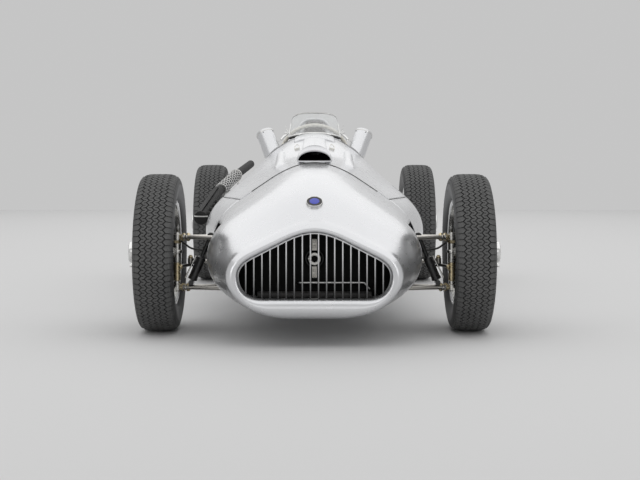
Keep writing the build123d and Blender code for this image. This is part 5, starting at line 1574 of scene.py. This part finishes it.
# %% Closed front, lip, end bands and clamp
pipe_along, pipe_level, pipe_up = across_line(PIPE_FRONT, PIPE_BEND)
front_cap = turned_about([(0.010, 0), (0.010, 0.0320), (0.0, 0.0332), (-0.0035, 0.0318), (-0.0062, 0.0270),
                          (-0.0080, 0.0180), (-0.0088, 0.0080), (-0.0090, 0)], PIPE_FRONT, PIPE_BEND, 48)
piece("exhaust_front_cap", front_cap, "chassis", pipe_black)
piece("exhaust_guard_ends", joined(*guard_ends), "chassis", guard_silver, closed=False)
t = np.linspace(-0.97, 0.97, 31)[:, None]
lip_bulge = 0.0092 * (1 - np.abs(t) ** 3.5) ** 0.5
lip_line = PIPE_FRONT + GUARD_RADIUS * t * pipe_level - 0.009 * pipe_up - lip_bulge * pipe_along
piece("exhaust_shroud_lip", tube(lip_line, 0.0034, 10), "chassis", guard_silver)

CLAMP_SHARE, FOOT_HALF = 0.95, 0.013
clamp_at = guard_start + CLAMP_SHARE * (guard_end - guard_start)
clamp = turned_about([(-0.009, 0.0326), (-0.009, 0.0352), (0.009, 0.0352), (0.009, 0.0326)], clamp_at,
                     guard_end, 48)
stay_foot = clamp_at + [0.022, 0, -0.058]
rod_line = np.array([clamp_at - pipe_up * 0.0335, stay_foot])
clamp_rods = [tube(rod_line + pipe_along * shift, 0.0036, 10) for shift in (-0.007, 0.007)]
piece("exhaust_clamp", joined(clamp, *clamp_rods), "chassis", bright_steel, closed=False)
foot_outline = FOOT_HALF * np.array([(-1, -1), (1, -1), (1, 1), (-1, 1)])
clamp_foot = moved(plate(foot_outline, "z", -0.012, 0.012), stay_foot)
black_ring = turned_about([(0.004, 0.0243), (0.004, 0.0292), (0.006, 0.0302), (0.016, 0.0302),
                           (0.018, 0.0292), (0.018, 0.0243)], guard_end, guard_end + pipe_along, 40)
piece("exhaust_clamp_foot", joined(clamp_foot, black_ring), "chassis", black_paint, crisp=30,
      closed=False)
print("lip points", len(lip_line))

# %% [markdown]
# Behind the bars a round boss stands on the radiator, into which a starting handle goes. It is
# a thick bright ring with a notch cut across it, on a dark disc, and a short strap above and
# below holds it with screws. The ring is a turned loop whose front points dip in the notch.

# %% Starting handle boss
BOSS_PLACE, BOSS_FRONT, BOSS_BACK = np.array([0.0, 0.0, 0.322]), -1.573, -1.5395
ring_points, ring_faces = turned([
    (BOSS_BACK, 0.0120), (BOSS_BACK, 0.0268), (BOSS_FRONT + 0.004, 0.0268), (BOSS_FRONT + 0.0012, 0.0258),
    (BOSS_FRONT, 0.0238), (BOSS_FRONT, 0.0150), (BOSS_FRONT + 0.0015, 0.0126), (BOSS_FRONT + 0.004, 0.0120),
], BOSS_PLACE, "y", 96, loop=True)
ring_x, ring_y, ring_z = (ring_points - BOSS_PLACE).T
in_notch = (np.abs(ring_z) < 0.0045) & (np.hypot(ring_x, ring_z) < 0.0245)
in_notch &= (ring_y < BOSS_FRONT + 0.005) & (ring_x < 0)
ring_points[in_notch, 1] = BOSS_FRONT + 0.009
boss_disc = turned([(-1.5500, 0.0125), (-1.5500, 0.0430), (-1.5485, 0.0450), (-1.5394, 0.0450),
                    (-1.5394, 0.0125)], BOSS_PLACE, "y", 72, loop=True)
raised_ring = turned([(-1.5508, 0.0330), (-1.5522, 0.0338), (-1.5522, 0.0362), (-1.5508, 0.0370),
                      (-1.5495, 0.0362), (-1.5495, 0.0338)], BOSS_PLACE, "y", 72, loop=True)
# The lower strap and its screws, given by width and by distance below the boss.
STRAP_OUTLINE = [(-0.0095, 0.077), (-0.006, 0.0785), (0.006, 0.0785), (0.0095, 0.077), (0.0095, 0.032),
                 (-0.0095, 0.032)]
SCREW_PROFILE = [(-1.5580, 0), (-1.5578, 0.0050), (-1.5560, 0.0066), (-1.5534, 0.0066), (-1.5534, 0)]
straps = []
for way in (-1, 1):
    outline = [(x, BOSS_PLACE[2] + way * down) for x, down in STRAP_OUTLINE]
    straps.append(plate(outline if way < 0 else outline[::-1], "y", -1.5535, -1.5396))
    for down in (0.0705, 0.0480):
        straps.append(turned(SCREW_PROFILE, (0, 0, BOSS_PLACE[2] + way * down), "y", 20))
piece("starter_boss_ring", (ring_points, ring_faces), "chassis", bright_steel, ["starter_boss"],
      crisp=30)
piece("starter_boss_disc", joined(boss_disc, raised_ring), "chassis", black_paint, crisp=30)
boss_straps = piece("starter_boss_straps", joined(*straps), "chassis", steel, crisp=30)
softened(boss_straps, 0.0006, 1)
print("boss", made["starter_boss_ring"])

# %% [markdown]
# The steering wheel is a thin cream rim on four sprung steel spokes. The rim is a torus whose
# small radius swells and shrinks on the far side, where the fingers lie, so the grips are part
# of one formula. The wheel is drawn in its own plane: level, up the slope, and along the column.

# %% Steering wheel
WHEEL_PLACE, COLUMN_RISE = np.array([0.0, 0.255, 0.742]), math.radians(25)
COLUMN = np.array([0.0, math.cos(COLUMN_RISE), math.sin(COLUMN_RISE)])
LEVEL, SLOPE = np.array([1.0, 0, 0]), np.array([0.0, -math.sin(COLUMN_RISE), math.cos(COLUMN_RISE)])
WHEEL_RADIUS, GRIP_RADIUS, FINGER_GRIPS, SPOKE_TURNS = 0.180, 0.0105, 48, (45, 135, 225, 315)


def in_wheel(across, up, out):
    """Points from wheel coordinates: across, up the wheel's plane, and out along the column."""
    return WHEEL_PLACE + across[..., None] * LEVEL + up[..., None] * SLOPE + out[..., None] * COLUMN


theta = np.linspace(0, 2 * np.pi, 288, endpoint=False)[:, None]
phi = np.linspace(0, 2 * np.pi, 20, endpoint=False)
grip = GRIP_RADIUS + 0.0014 * np.cos(FINGER_GRIPS * theta) * np.clip(0.3 - np.sin(phi), 0, 1)
from_column = WHEEL_RADIUS + grip * np.cos(phi)
rim_grid = in_wheel(from_column * np.cos(theta), from_column * np.sin(theta), grip * np.sin(phi))
piece("steering_rim", sheet(rim_grid, wrap=True, loop=True), "steering_wheel", cream_rim,
      ["steering_wheel"])


def spoke(turn_by, cells=7, holes=5):
    """A flat spoke: a strip of square cells, some with a round hole, turned round the column."""
    start, end, half = 0.026, WHEEL_RADIUS - 0.004, 0.0115
    step = (end - start) / cells
    corner = np.array([(-1, -1), (0, -1), (1, -1), (1, 0), (1, 1), (0, 1), (-1, 1), (-1, 0)])
    angle = np.arctan2(corner[:, 1], corner[:, 0])
    parts = []
    for cell in range(cells):
        middle = start + (cell + 0.5) * step
        border = np.stack([middle + corner[:, 0] * step / 2, corner[:, 1] * (half - 0.0006 * cell)], 1)
        size = 0.0052 if 0 < cell <= holes else 0.0
        inner = np.stack([middle + size * np.cos(angle), size * np.sin(angle)], 1)
        flat = np.concatenate([border, inner])
        a, b = flat[:, 0], flat[:, 1]
        c, s = math.cos(turn_by), math.sin(turn_by)
        dish = 0.004 * np.sin(np.pi * (a - start) / (end - start)) - 0.002
        points = in_wheel(a * c - b * s, a * s + b * c, dish)
        parts.append((points, RING_OF_EIGHT))
    return joined(*parts)


spokes = joined(*[spoke(math.radians(a)) for a in SPOKE_TURNS])
spoke_piece = piece("steering_spokes", spokes, "steering_wheel", bright_steel, closed=False,
                    weld=3e-5)
thickened(spoke_piece, 0.0024, 0.0)
hub_shape = turned_about([
    (-0.040, 0), (-0.040, 0.0175), (-0.012, 0.0190), (-0.0075, 0.0300), (0.0040, 0.0305), (0.0060, 0.0290),
    (0.0065, 0.0200), (0.0110, 0.0190), (0.0130, 0.0160), (0.0135, 0),
], WHEEL_PLACE, WHEEL_PLACE + COLUMN, 60)
hub_screws = []
for a in np.linspace(0, 2 * np.pi, 8, endpoint=False) + 0.39:
    spot = in_wheel(*(np.array(v) for v in (0.0250 * math.cos(a), 0.0250 * math.sin(a), 0.0062)))
    hub_screws.append(turned_about([(0, 0), (0, 0.0026), (0.0012, 0.0022), (0.0015, 0)], spot,
                                   spot + COLUMN, 10))
piece("steering_hub", joined(hub_shape, *hub_screws), "steering_wheel", black_paint, crisp=30)
print("steering wheel", made["steering_rim"], made["steering_spokes"])

# %% [markdown]
# The dashboard is a plain black sheet with round dials that face the driver. A dial is a turned
# rim, a dark face a little below it, a pointer and a ring of short marks; each mark is a thin
# bar placed by its angle. The numbers are left off.

# %% Dials
DASH_FACE_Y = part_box("dashboard")[1][1]
DIALS = [
    # x, height, radius
    (0.0, 0.690, 0.052), (0.135, 0.680, 0.032), (-0.135, 0.680, 0.032), (0.225, 0.655, 0.027),
    (-0.225, 0.655, 0.027),
]
mark_angles = np.radians(np.arange(-135, 136, 22.5))
mark_ways = np.stack([np.sin(mark_angles), 0 * mark_angles, np.cos(mark_angles)], 1)
dial_rims, dial_plates, dial_lines = [], [], []
for x, z, radius in DIALS:
    place = np.array([x, DASH_FACE_Y, z])
    rim_profile = [(-0.001, radius - 0.004), (0.006, radius - 0.004), (0.0085, radius - 0.002),
                   (0.0085, radius), (0.0065, radius + 0.0015), (-0.001, radius + 0.0015)]
    dial_rims.append(turned(rim_profile, place, "y", 64, loop=True))
    face_profile = [(-0.001, 0), (-0.001, radius - 0.003), (0.0025, radius - 0.003), (0.0025, 0)]
    dial_plates.append(turned(face_profile, place, "y", 48))
    inner, outer = (place + [0, 0.0028, 0] + share * radius * mark_ways for share in (0.76, 0.88))
    dial_lines.append(rods(inner, outer, 0.0006, 4))
    pointer_start = place + [0, 0.0040, 0]
    pointer_end = pointer_start - [0.5 * radius, 0, 0.5 * radius]
    dial_lines.append(rods([pointer_start], [pointer_end], (0.0014, 0.0004), 6))
piece("dial_rims", joined(*dial_rims), "chassis", plating, crisp=30)
piece("dial_faces", joined(*dial_plates), "chassis", dial_face, crisp=30)
piece("dial_pointers", joined(*dial_lines), "chassis", dial_marks)
print("dials", len(DIALS))

# %% [markdown]
# The hide is dark and worn. A fine pattern of cells gives its pores and a slow noise its folds.
# Together they are one bump, and the folds also change the tone and the gloss, because a fold
# is where hands and clothes have rubbed.

# %% Leather
leather, tree, shader = new_material("dark leather")
place = object_place(tree)
pores = node(tree, "TexVoronoi", {"Vector": place, "Scale": 420.0}, feature="SMOOTH_F1")
folds = node(tree, "TexNoise", {"Vector": place, "Scale": 26.0, "Detail": 5.0})
cracks = node(tree, "Math", {0: pores.outputs["Distance"], 1: folds.outputs["Fac"]}, operation="ADD")
grain = node(tree, "Bump", {"Height": cracks.outputs[0], "Strength": 0.35, "Distance": 0.0008})
tree.links.new(grain.outputs["Normal"], shader.inputs["Normal"])
hide_tone = node(tree, "Mix", {"Factor": folds.outputs["Fac"], "A": (0.030, 0.026, 0.022, 1),
                               "B": (0.075, 0.062, 0.050, 1)}, data_type="RGBA")
tree.links.new(hide_tone.outputs["Result"], shader.inputs["Base Color"])
hide_gloss = remap(tree, folds.outputs["Fac"], (0.35, 0.65), (0.38, 0.58))
tree.links.new(hide_gloss, shader.inputs["Roughness"])
print("leather ready")

# %% [markdown]
# Seat and headrest are leather cushions. A cushion gets its form from the air and the stuffing
# that push its cover out, so the cover is blown up by a cloth simulation from a slightly
# smaller block, with a limit on how far each point may go. The sewn channels come after it: a
# point near a seam line goes in by a bell curve of its distance from the line.

# %% Blown up cushions
CLOTH_STEPS = 20


def swap_mesh(obj):
    """Apply the modifiers of an object: its evaluated mesh becomes its own."""
    graph = bpy.context.evaluated_depsgraph_get()
    solid = bpy.data.meshes.new_from_object(obj.evaluated_get(graph))
    obj.modifiers.clear()
    obj.data = solid
    return obj


def vectors(mesh, field):
    """Positions or normals of a mesh as an array."""
    values = np.empty(3 * len(mesh.vertices))
    if field == "co":
        mesh.vertices.foreach_get("co", values)
    else:
        mesh.vertex_normals.foreach_get("vector", values)
    return values.reshape(-1, 3)


def cushion(node_name, name, voxel, smaller, most, reshape=None):
    """A CAD block remeshed, made smaller along its normals and blown up by at most a distance.

    reshape may first give the block's points the outline of the real pad."""
    work = bmesh.new()
    work.from_mesh(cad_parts[node_name].data)
    bmesh.ops.remove_doubles(work, verts=work.verts, dist=1e-5)
    bmesh.ops.recalc_face_normals(work, faces=work.faces)
    mesh = bpy.data.meshes.new(name)
    work.to_mesh(mesh)
    work.free()
    obj = bpy.data.objects.new(name, mesh)
    bpy.context.scene.collection.objects.link(obj)
    if reshape:
        mesh.vertices.foreach_set("co", reshape(vectors(mesh, "co")).ravel())
    remesh = obj.modifiers.new("even_faces", "REMESH")
    remesh.mode = "VOXEL"
    remesh.voxel_size = voxel
    swap_mesh(obj)
    start = vectors(obj.data, "co") - smaller * vectors(obj.data, "normal")
    obj.data.vertices.foreach_set("co", start.ravel())
    end = start
    cloth = obj.modifiers.new("cover", "CLOTH")
    cloth.settings.use_pressure = True
    cloth.settings.uniform_pressure_force = 4.0
    cloth.settings.effector_weights.gravity = 0.0
    for step in range(1, CLOTH_STEPS + 1):
        bpy.context.scene.frame_set(step)
    swap_mesh(obj)
    bpy.context.scene.frame_set(1)
    end = vectors(obj.data, "co")
    way = end - start
    far = np.linalg.norm(way, axis=1, keepdims=True)
    points = start + way * np.minimum(1, most / np.maximum(far, 1e-9))
    obj.data.vertices.foreach_set("co", points.ravel())
    obj.data.update()
    print(name, len(points), "points moved up to", round(float(far.max()) * 1000, 1), "mm")
    return obj


def sewn(obj, distance, facing, depth, wide):
    """Push points in by depth exp(-(d/wide)^2), where d is the distance to the nearest seam line."""
    points, normals = vectors(obj.data, "co"), vectors(obj.data, "normal")
    push = depth * np.exp(-(distance(points) / wide) ** 2) * np.clip(normals @ facing * 1.6, 0, 1)
    obj.data.vertices.foreach_set("co", (points - push[:, None] * normals).ravel())
    obj.data.update()


def upholstered(obj, nodes):
    """Give a cushion its leather, smooth shading, one level of subdivision and its body, hide the CAD nodes
    it stands for and count its faces.
    """
    obj.data.materials.clear()
    obj.data.materials.append(leather)
    obj.data.shade_smooth()
    rounder = obj.modifiers.new("rounder", "SUBSURF")
    rounder.levels = rounder.render_levels = 1
    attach(obj, "chassis")
    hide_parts(*nodes)
    made[obj.name] = len(obj.data.polygons)


print("cushion tools ready")

# %% [markdown]
# The seat's cover is sewn in even pleats that run up the back. The head pad is held by a button
# in its middle, where the cover dips. Its real outline is narrower at the top than the CAD
# block, so the block's points are drawn in before it is blown up.

# %% Seat and headrest
PLEAT_WIDTH = 0.046


def from_pleat(points):
    """Distance of each point from the nearest upright seam, one every pleat's width."""
    return np.abs((points[:, 0] / PLEAT_WIDTH + 0.5) % 1 - 0.5) * PLEAT_WIDTH


seat = cushion("seat_pads", "seat_cushions", 0.0078, 0.004, 0.010)
sewn(seat, from_pleat, np.array([0.0, -0.7, 0.7]), 0.0045, 0.006)
upholstered(seat, ["seat_pads"])
head_low, head_high = (np.array(corner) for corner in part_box("headrest_pad"))
head_mid = (head_low + head_high) / 2


def narrowed(points):
    """The head pad's outline: its top rises by a sixth and draws in by the square of the height."""
    up = np.clip((points[:, 2:] - head_low[2]) / (head_high[2] - head_low[2]), 0, 1)
    z = head_low[2] + up * (head_high[2] + 0.020 - head_low[2])
    return np.concatenate([points[:, :1] * (1 - 0.36 * up**2), points[:, 1:2], z], 1)


def from_button(points):
    """Distance of each point from the line through the button, seen from the front."""
    return np.hypot(points[:, 0] - head_mid[0], points[:, 2] - head_mid[2])


head = cushion("headrest_pad", "headrest_cushion", 0.005, 0.003, 0.006, narrowed)
sewn(head, from_button, np.array([0.0, -1.0, 0.0]), 0.007, 0.014)
upholstered(head, ["headrest_pad"])
button_shape = turned([(-0.0030, 0), (-0.0028, 0.0050), (-0.0010, 0.0072), (0.0030, 0.0074), (0.0040, 0)],
                      (head_mid[0], head_low[1] + 0.0075, head_mid[2]), "y", 28)
piece("headrest_button", button_shape, "chassis", leather)
print("cushions", made["seat_cushions"], made["headrest_cushion"])

# %% [markdown]
# Behind the bars the mouth is closed round the radiator by a black sheet, so that all the air
# goes through the core and no light comes past it. It has the mouth's own outline, a little
# larger, and stands in the plane of the core; its near black, dull colour is painted shade. The
# scoop's duct gets a sheet of the same painted shade black: its inner arches come again, a little
# smaller and turned to face inwards, and darken the inside of the duct.

# %% Black sheet round the radiator and painted shade in the scoop
sheet_outline = np.concatenate([mouth, (mouth * [-1, 1])[::-1][1:-1]])
sheet_outline = (sheet_outline - [0, MOUTH_MIDDLE_Z]) * [1.13, 1.20] + [0, MOUTH_MIDDLE_Z + 0.008]
# The shroud's near black colour is painted shade in the depth of the mouth.
piece("radiator_shroud", plate(sheet_outline, "y", -1.5405, -1.5385), "chassis", shade_black,
      crisp=30)
# Painted shade: a near black sheet laid over the duct's inside, which is silver paint.
scoop_shade_sheet = [row * [0.985, 1, 1] + [0, 0, 0.0002] for row in inside]
scoop_shade_sheet.append(scoop_shade_sheet[-1] + [0, -0.003, 0])
piece("scoop_shade_sheet", sheet(np.stack(scoop_shade_sheet), wrap=True, flip=True), "chassis", shade_black,
      closed=False)
print("shroud points", len(sheet_outline))

# %% [markdown]
# A thin black tube lies in the seam between nose cowl and bonnet and draws the seam as a dark
# line. Another black tube lies along the front edge of the latch pad as a painted shadow under
# that edge. Both are thin tubes along a line that the skin or the pad already has.

# %% Black tubes in the bonnet seam and at the latch pad's edge
SEAM_LINE_LOW_END = 0.58
seam_s = np.array([NOSE_REAR])
seam_line_points = skin(seam_s, length_where(seam_s, z=SEAM_LINE_LOW_END), None, 90)[0]
seam_line_points = np.concatenate([seam_line_points, seam_line_points[-2::-1] * [-1, 1, 1]])
# A black tube in the seam draws it as a dark line.
piece("bonnet_seam_black_line", tube(seam_line_points + [0, -0.0012, 0.0006], 0.0019, 8), "chassis", rubber_and_shadow_black)
# Painted shadow: a black tube along the pad's front edge, where the pad casts its shadow on the bonnet.
pad_edge_shadow_line = pad[0, 3:-3] + [0, -0.0010, -0.0010]
piece("latch_pad_edge_shadow", tube(pad_edge_shadow_line, 0.0030, 8), "chassis", rubber_and_shadow_black)
print("welt points", len(seam_line_points))

# %% [markdown]
# The bonnet's latches are sprung clips beside the air scoop: a foot plate with two screws, a
# round hinge pin and a lever that is bent from wire. Every point of a clip is given by its
# distance from the clip's middle and its height over the skin. Two more screws hold the scoop.

# %% Bonnet clips and scoop screws
CLIP_X, CLIP_S, HINGE = 0.086, 0.870, -0.008
SMALL_SCREW = [(0, 0), (0, 0.0032), (0.0015, 0.0026), (0.0019, 0)]
SCOOP_SCREW = [(-0.002, 0), (-0.002, 0.0042), (0.0010, 0.0040), (0.0018, 0.0026), (0.0018, 0)]


def seated(x, s, above=0.0):
    """A point on the skin at a width and a station, and a bit above it."""
    return np.array([x, FRONT_AXLE_Y + s, skin_height(x, s) + above])


def on_clip(across, along, above):
    """A point of the left clip, counted from its middle on the skin."""
    return seated(CLIP_X + across, CLIP_S + along, above)


slope_drop = skin_height(CLIP_X - 0.012, CLIP_S) - skin_height(CLIP_X + 0.012, CLIP_S)
clip_tilt = math.atan2(slope_drop, 0.024)
c, s = math.cos(clip_tilt), math.sin(clip_tilt)
foot_points, foot_faces = plate([(-0.012, -0.016), (0.012, -0.016), (0.012, 0.016), (-0.012, 0.016)], "z",
                                -0.004, 0.003)
tilted = foot_points @ np.array([[c, 0, -s], [0, 1, 0], [s, 0, c]])
clip_foot = tilted + seated(CLIP_X, CLIP_S), foot_faces
pin = tube([on_clip(-0.013, HINGE, 0.006), on_clip(0.013, HINGE, 0.006)], 0.0036, 16)
LEVER_LINE = [(0.010, HINGE, 0.006), (0.011, 0.012, 0.011), (0.004, 0.030, 0.015), (-0.004, 0.030, 0.015),
              (-0.011, 0.012, 0.011), (-0.010, HINGE, 0.006)]
lever = tube(smooth_path([on_clip(*place) for place in LEVER_LINE], 40), 0.0024, 10)
heads = [turned_about(SMALL_SCREW, on_clip(across, 0.009, 0.003), on_clip(across, 0.009, 0.1), 14)
         for across in (-0.006, 0.006)]
piece("bonnet_clips", both(joined(clip_foot, pin, lever, *heads)), "chassis", bright_steel,
      crisp=30)
scoop_screws = [turned_about(SCOOP_SCREW, seated(x, 0.282), seated(x, 0.282) + [0, -0.2, 1], 16)
                for x in (-0.048, 0.048)]
piece("scoop_screws", joined(*scoop_screws), "chassis", dark_ring, crisp=30)
print("clip tilt", round(math.degrees(clip_tilt), 1))

# %% [markdown]
# Each mirror pod wears a flat cap with a rolled edge and small screws round it. The pod leans
# outwards and back, so the cap is placed by its axis: a turned profile that starts at the head
# of the post and looks along it.

# %% Caps of the mirror pods
POD_FOOT = np.array([0.196, FRONT_AXLE_Y + 1.270, 0.700])
POD_HEAD = np.array([0.248, FRONT_AXLE_Y + 1.335, 0.830])
POD_RADIUS, POD_TOP, SCREW_ANGLES = 0.046, 0.043, (35, 110, 180, 250, 320)
CAP_EDGE = np.array([(-0.0135, -0.0005), (-0.0130, 0.0012), (-0.0115, 0.0017), (-0.0100, 0.0012),
                     (-0.0095, -0.0005)])
POD_SCREW = [(0, 0), (0, 0.0034), (0.0012, 0.0030), (0.0018, 0.0016), (0.0018, 0)]

pod_axis = (POD_HEAD - POD_FOOT) / math.dist(POD_FOOT, POD_HEAD)
pod_ring = turned_about(CAP_EDGE + [POD_TOP, POD_RADIUS], POD_HEAD, POD_HEAD + pod_axis, 72)
side_way = np.cross(pod_axis, [0, 0, 1])
side_way /= np.linalg.norm(side_way)
front_way = np.cross(pod_axis, side_way)
pod_screws = []
for a in np.radians(SCREW_ANGLES):
    out = math.cos(a) * side_way + math.sin(a) * front_way
    spot = POD_HEAD + pod_axis * (POD_TOP - 0.020) + out * (POD_RADIUS - 0.0005)
    pod_screws.append(turned_about(POD_SCREW, spot, spot + out, 14))
piece("pod_cap_edges", both(pod_ring), "chassis", bright_steel, closed=False)
piece("pod_screws", both(joined(*pod_screws)), "chassis", dark_ring, crisp=30)
print("pod axis", np.round(pod_axis, 3))

# %% [markdown]
# CAD nodes whose shape is already right keep it and only get a finish. They are plain tubes,
# sheets and blocks, for the most part deep inside the car.

# %% Finishes for the CAD nodes
KEPT_NODES = [
    (silver_paint, ["mirror_pods"]),
    (plating, ["fuel_cap", "mirror_glasses", "coolant_pipe"]),
    (black_paint, ["dashboard", "steering_column", "front_dampers", "rear_dampers"]),
    (sheet_metal, ["firewall", "seat_shell"]),
    (frame_paint, ["chassis_frame", "rear_axle_tube"]),
    (core_shade_black, ["radiator"]),
    (cast_metal, ["engine_block", "differential"]),
    (pipe_black, ["exhaust_pipe", "exhaust_shroud"]),
    (steel, ["upper_arms", "lower_arms", "track_rod", "trailing_arms", "half_shaft_left",
             "half_shaft_right"]),
]
for finished, names in KEPT_NODES:
    for name in names:
        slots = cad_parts[name].data.materials
        slots.clear()
        slots.append(finished)
print("finished", sum(len(names) for _, names in KEPT_NODES), "nodes")

# %% [markdown]
# The studio is a pale floor that takes the car's shadow, and a pale even world round it.

# %% Floor and world
FLOOR_CORNERS = np.array([[(-9, -8, 0), (9, -8, 0)], [(-9, 12, 0), (9, 12, 0)]], float)
floor_grey, tree, shader = new_material("studio floor")
shader.inputs["Base Color"].default_value = (0.62, 0.62, 0.62, 1)
shader.inputs["Roughness"].default_value = 0.8
mesh = bpy.data.meshes.new("floor")
points, faces = sheet(FLOOR_CORNERS)
mesh.from_pydata(points.tolist(), [], faces.tolist())
mesh.materials.append(floor_grey)
floor = bpy.data.objects.new("floor", mesh)
bpy.context.scene.collection.objects.link(floor)
floor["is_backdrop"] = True

world = bpy.data.worlds.new("studio")
bpy.context.scene.world = world
world.use_nodes = True
tree = world.node_tree
tree.nodes["Background"].inputs["Color"].default_value = (1, 1, 1, 1)
tree.nodes["Background"].inputs["Strength"].default_value = 0.56
print("floor", mesh.name, "world", world.name)

# %% [markdown]
# Silver paint shows what is round it, so the lamps are planned as reflections: a wide one
# overhead gives the top of the body one even light with a soft edge along the shoulders, and
# dimmer ones at both sides and behind the camera keep the flanks and the mouth's lip from
# going dark.

# %% Lamps
LAMPS = [
    # name, place, what it looks at, width and length, power
    ("overhead", (0, 3.75, 5.0), (0, 3.75, 0), (14.0, 19.5), 510),
    ("left_fill", (5.0, -5.0, 1.8), (0, -1.5, 0.3), (1.0, 3.0), 22),
    ("right_fill", (-5.0, -5.0, 1.8), (0, -1.5, 0.3), (1.0, 3.0), 22),
    ("front_fill", (0, -9.5, 2.6), (0, -1.5, 0.5), (6.0, 3.0), 26),
]


def softbox(name, place, towards, size, power):
    """A square area lamp that looks at a point."""
    data = bpy.data.lights.new(name, "AREA")
    data.shape = "RECTANGLE"
    data.size, data.size_y = size
    data.energy = power
    lamp = bpy.data.objects.new(name, data)
    lamp.location = place
    aim = np.asarray(towards, float) - place
    tilt, heading = math.atan2(math.hypot(aim[0], aim[1]), -aim[2]), math.atan2(-aim[0], aim[1])
    lamp.rotation_euler = (tilt, 0, heading)
    bpy.context.scene.collection.objects.link(lamp)
    return lamp


for lamp_row in LAMPS:
    softbox(*lamp_row)
bpy.context.scene.view_settings.view_transform = "Standard"
print("lamps", len(bpy.data.lights))

# %% Sizes and finish
low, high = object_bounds()
print("dressed box", [round(v, 3) for v in (*low, *high)])
print("new quads", sum(made.values()), "in", len(made), "pieces")
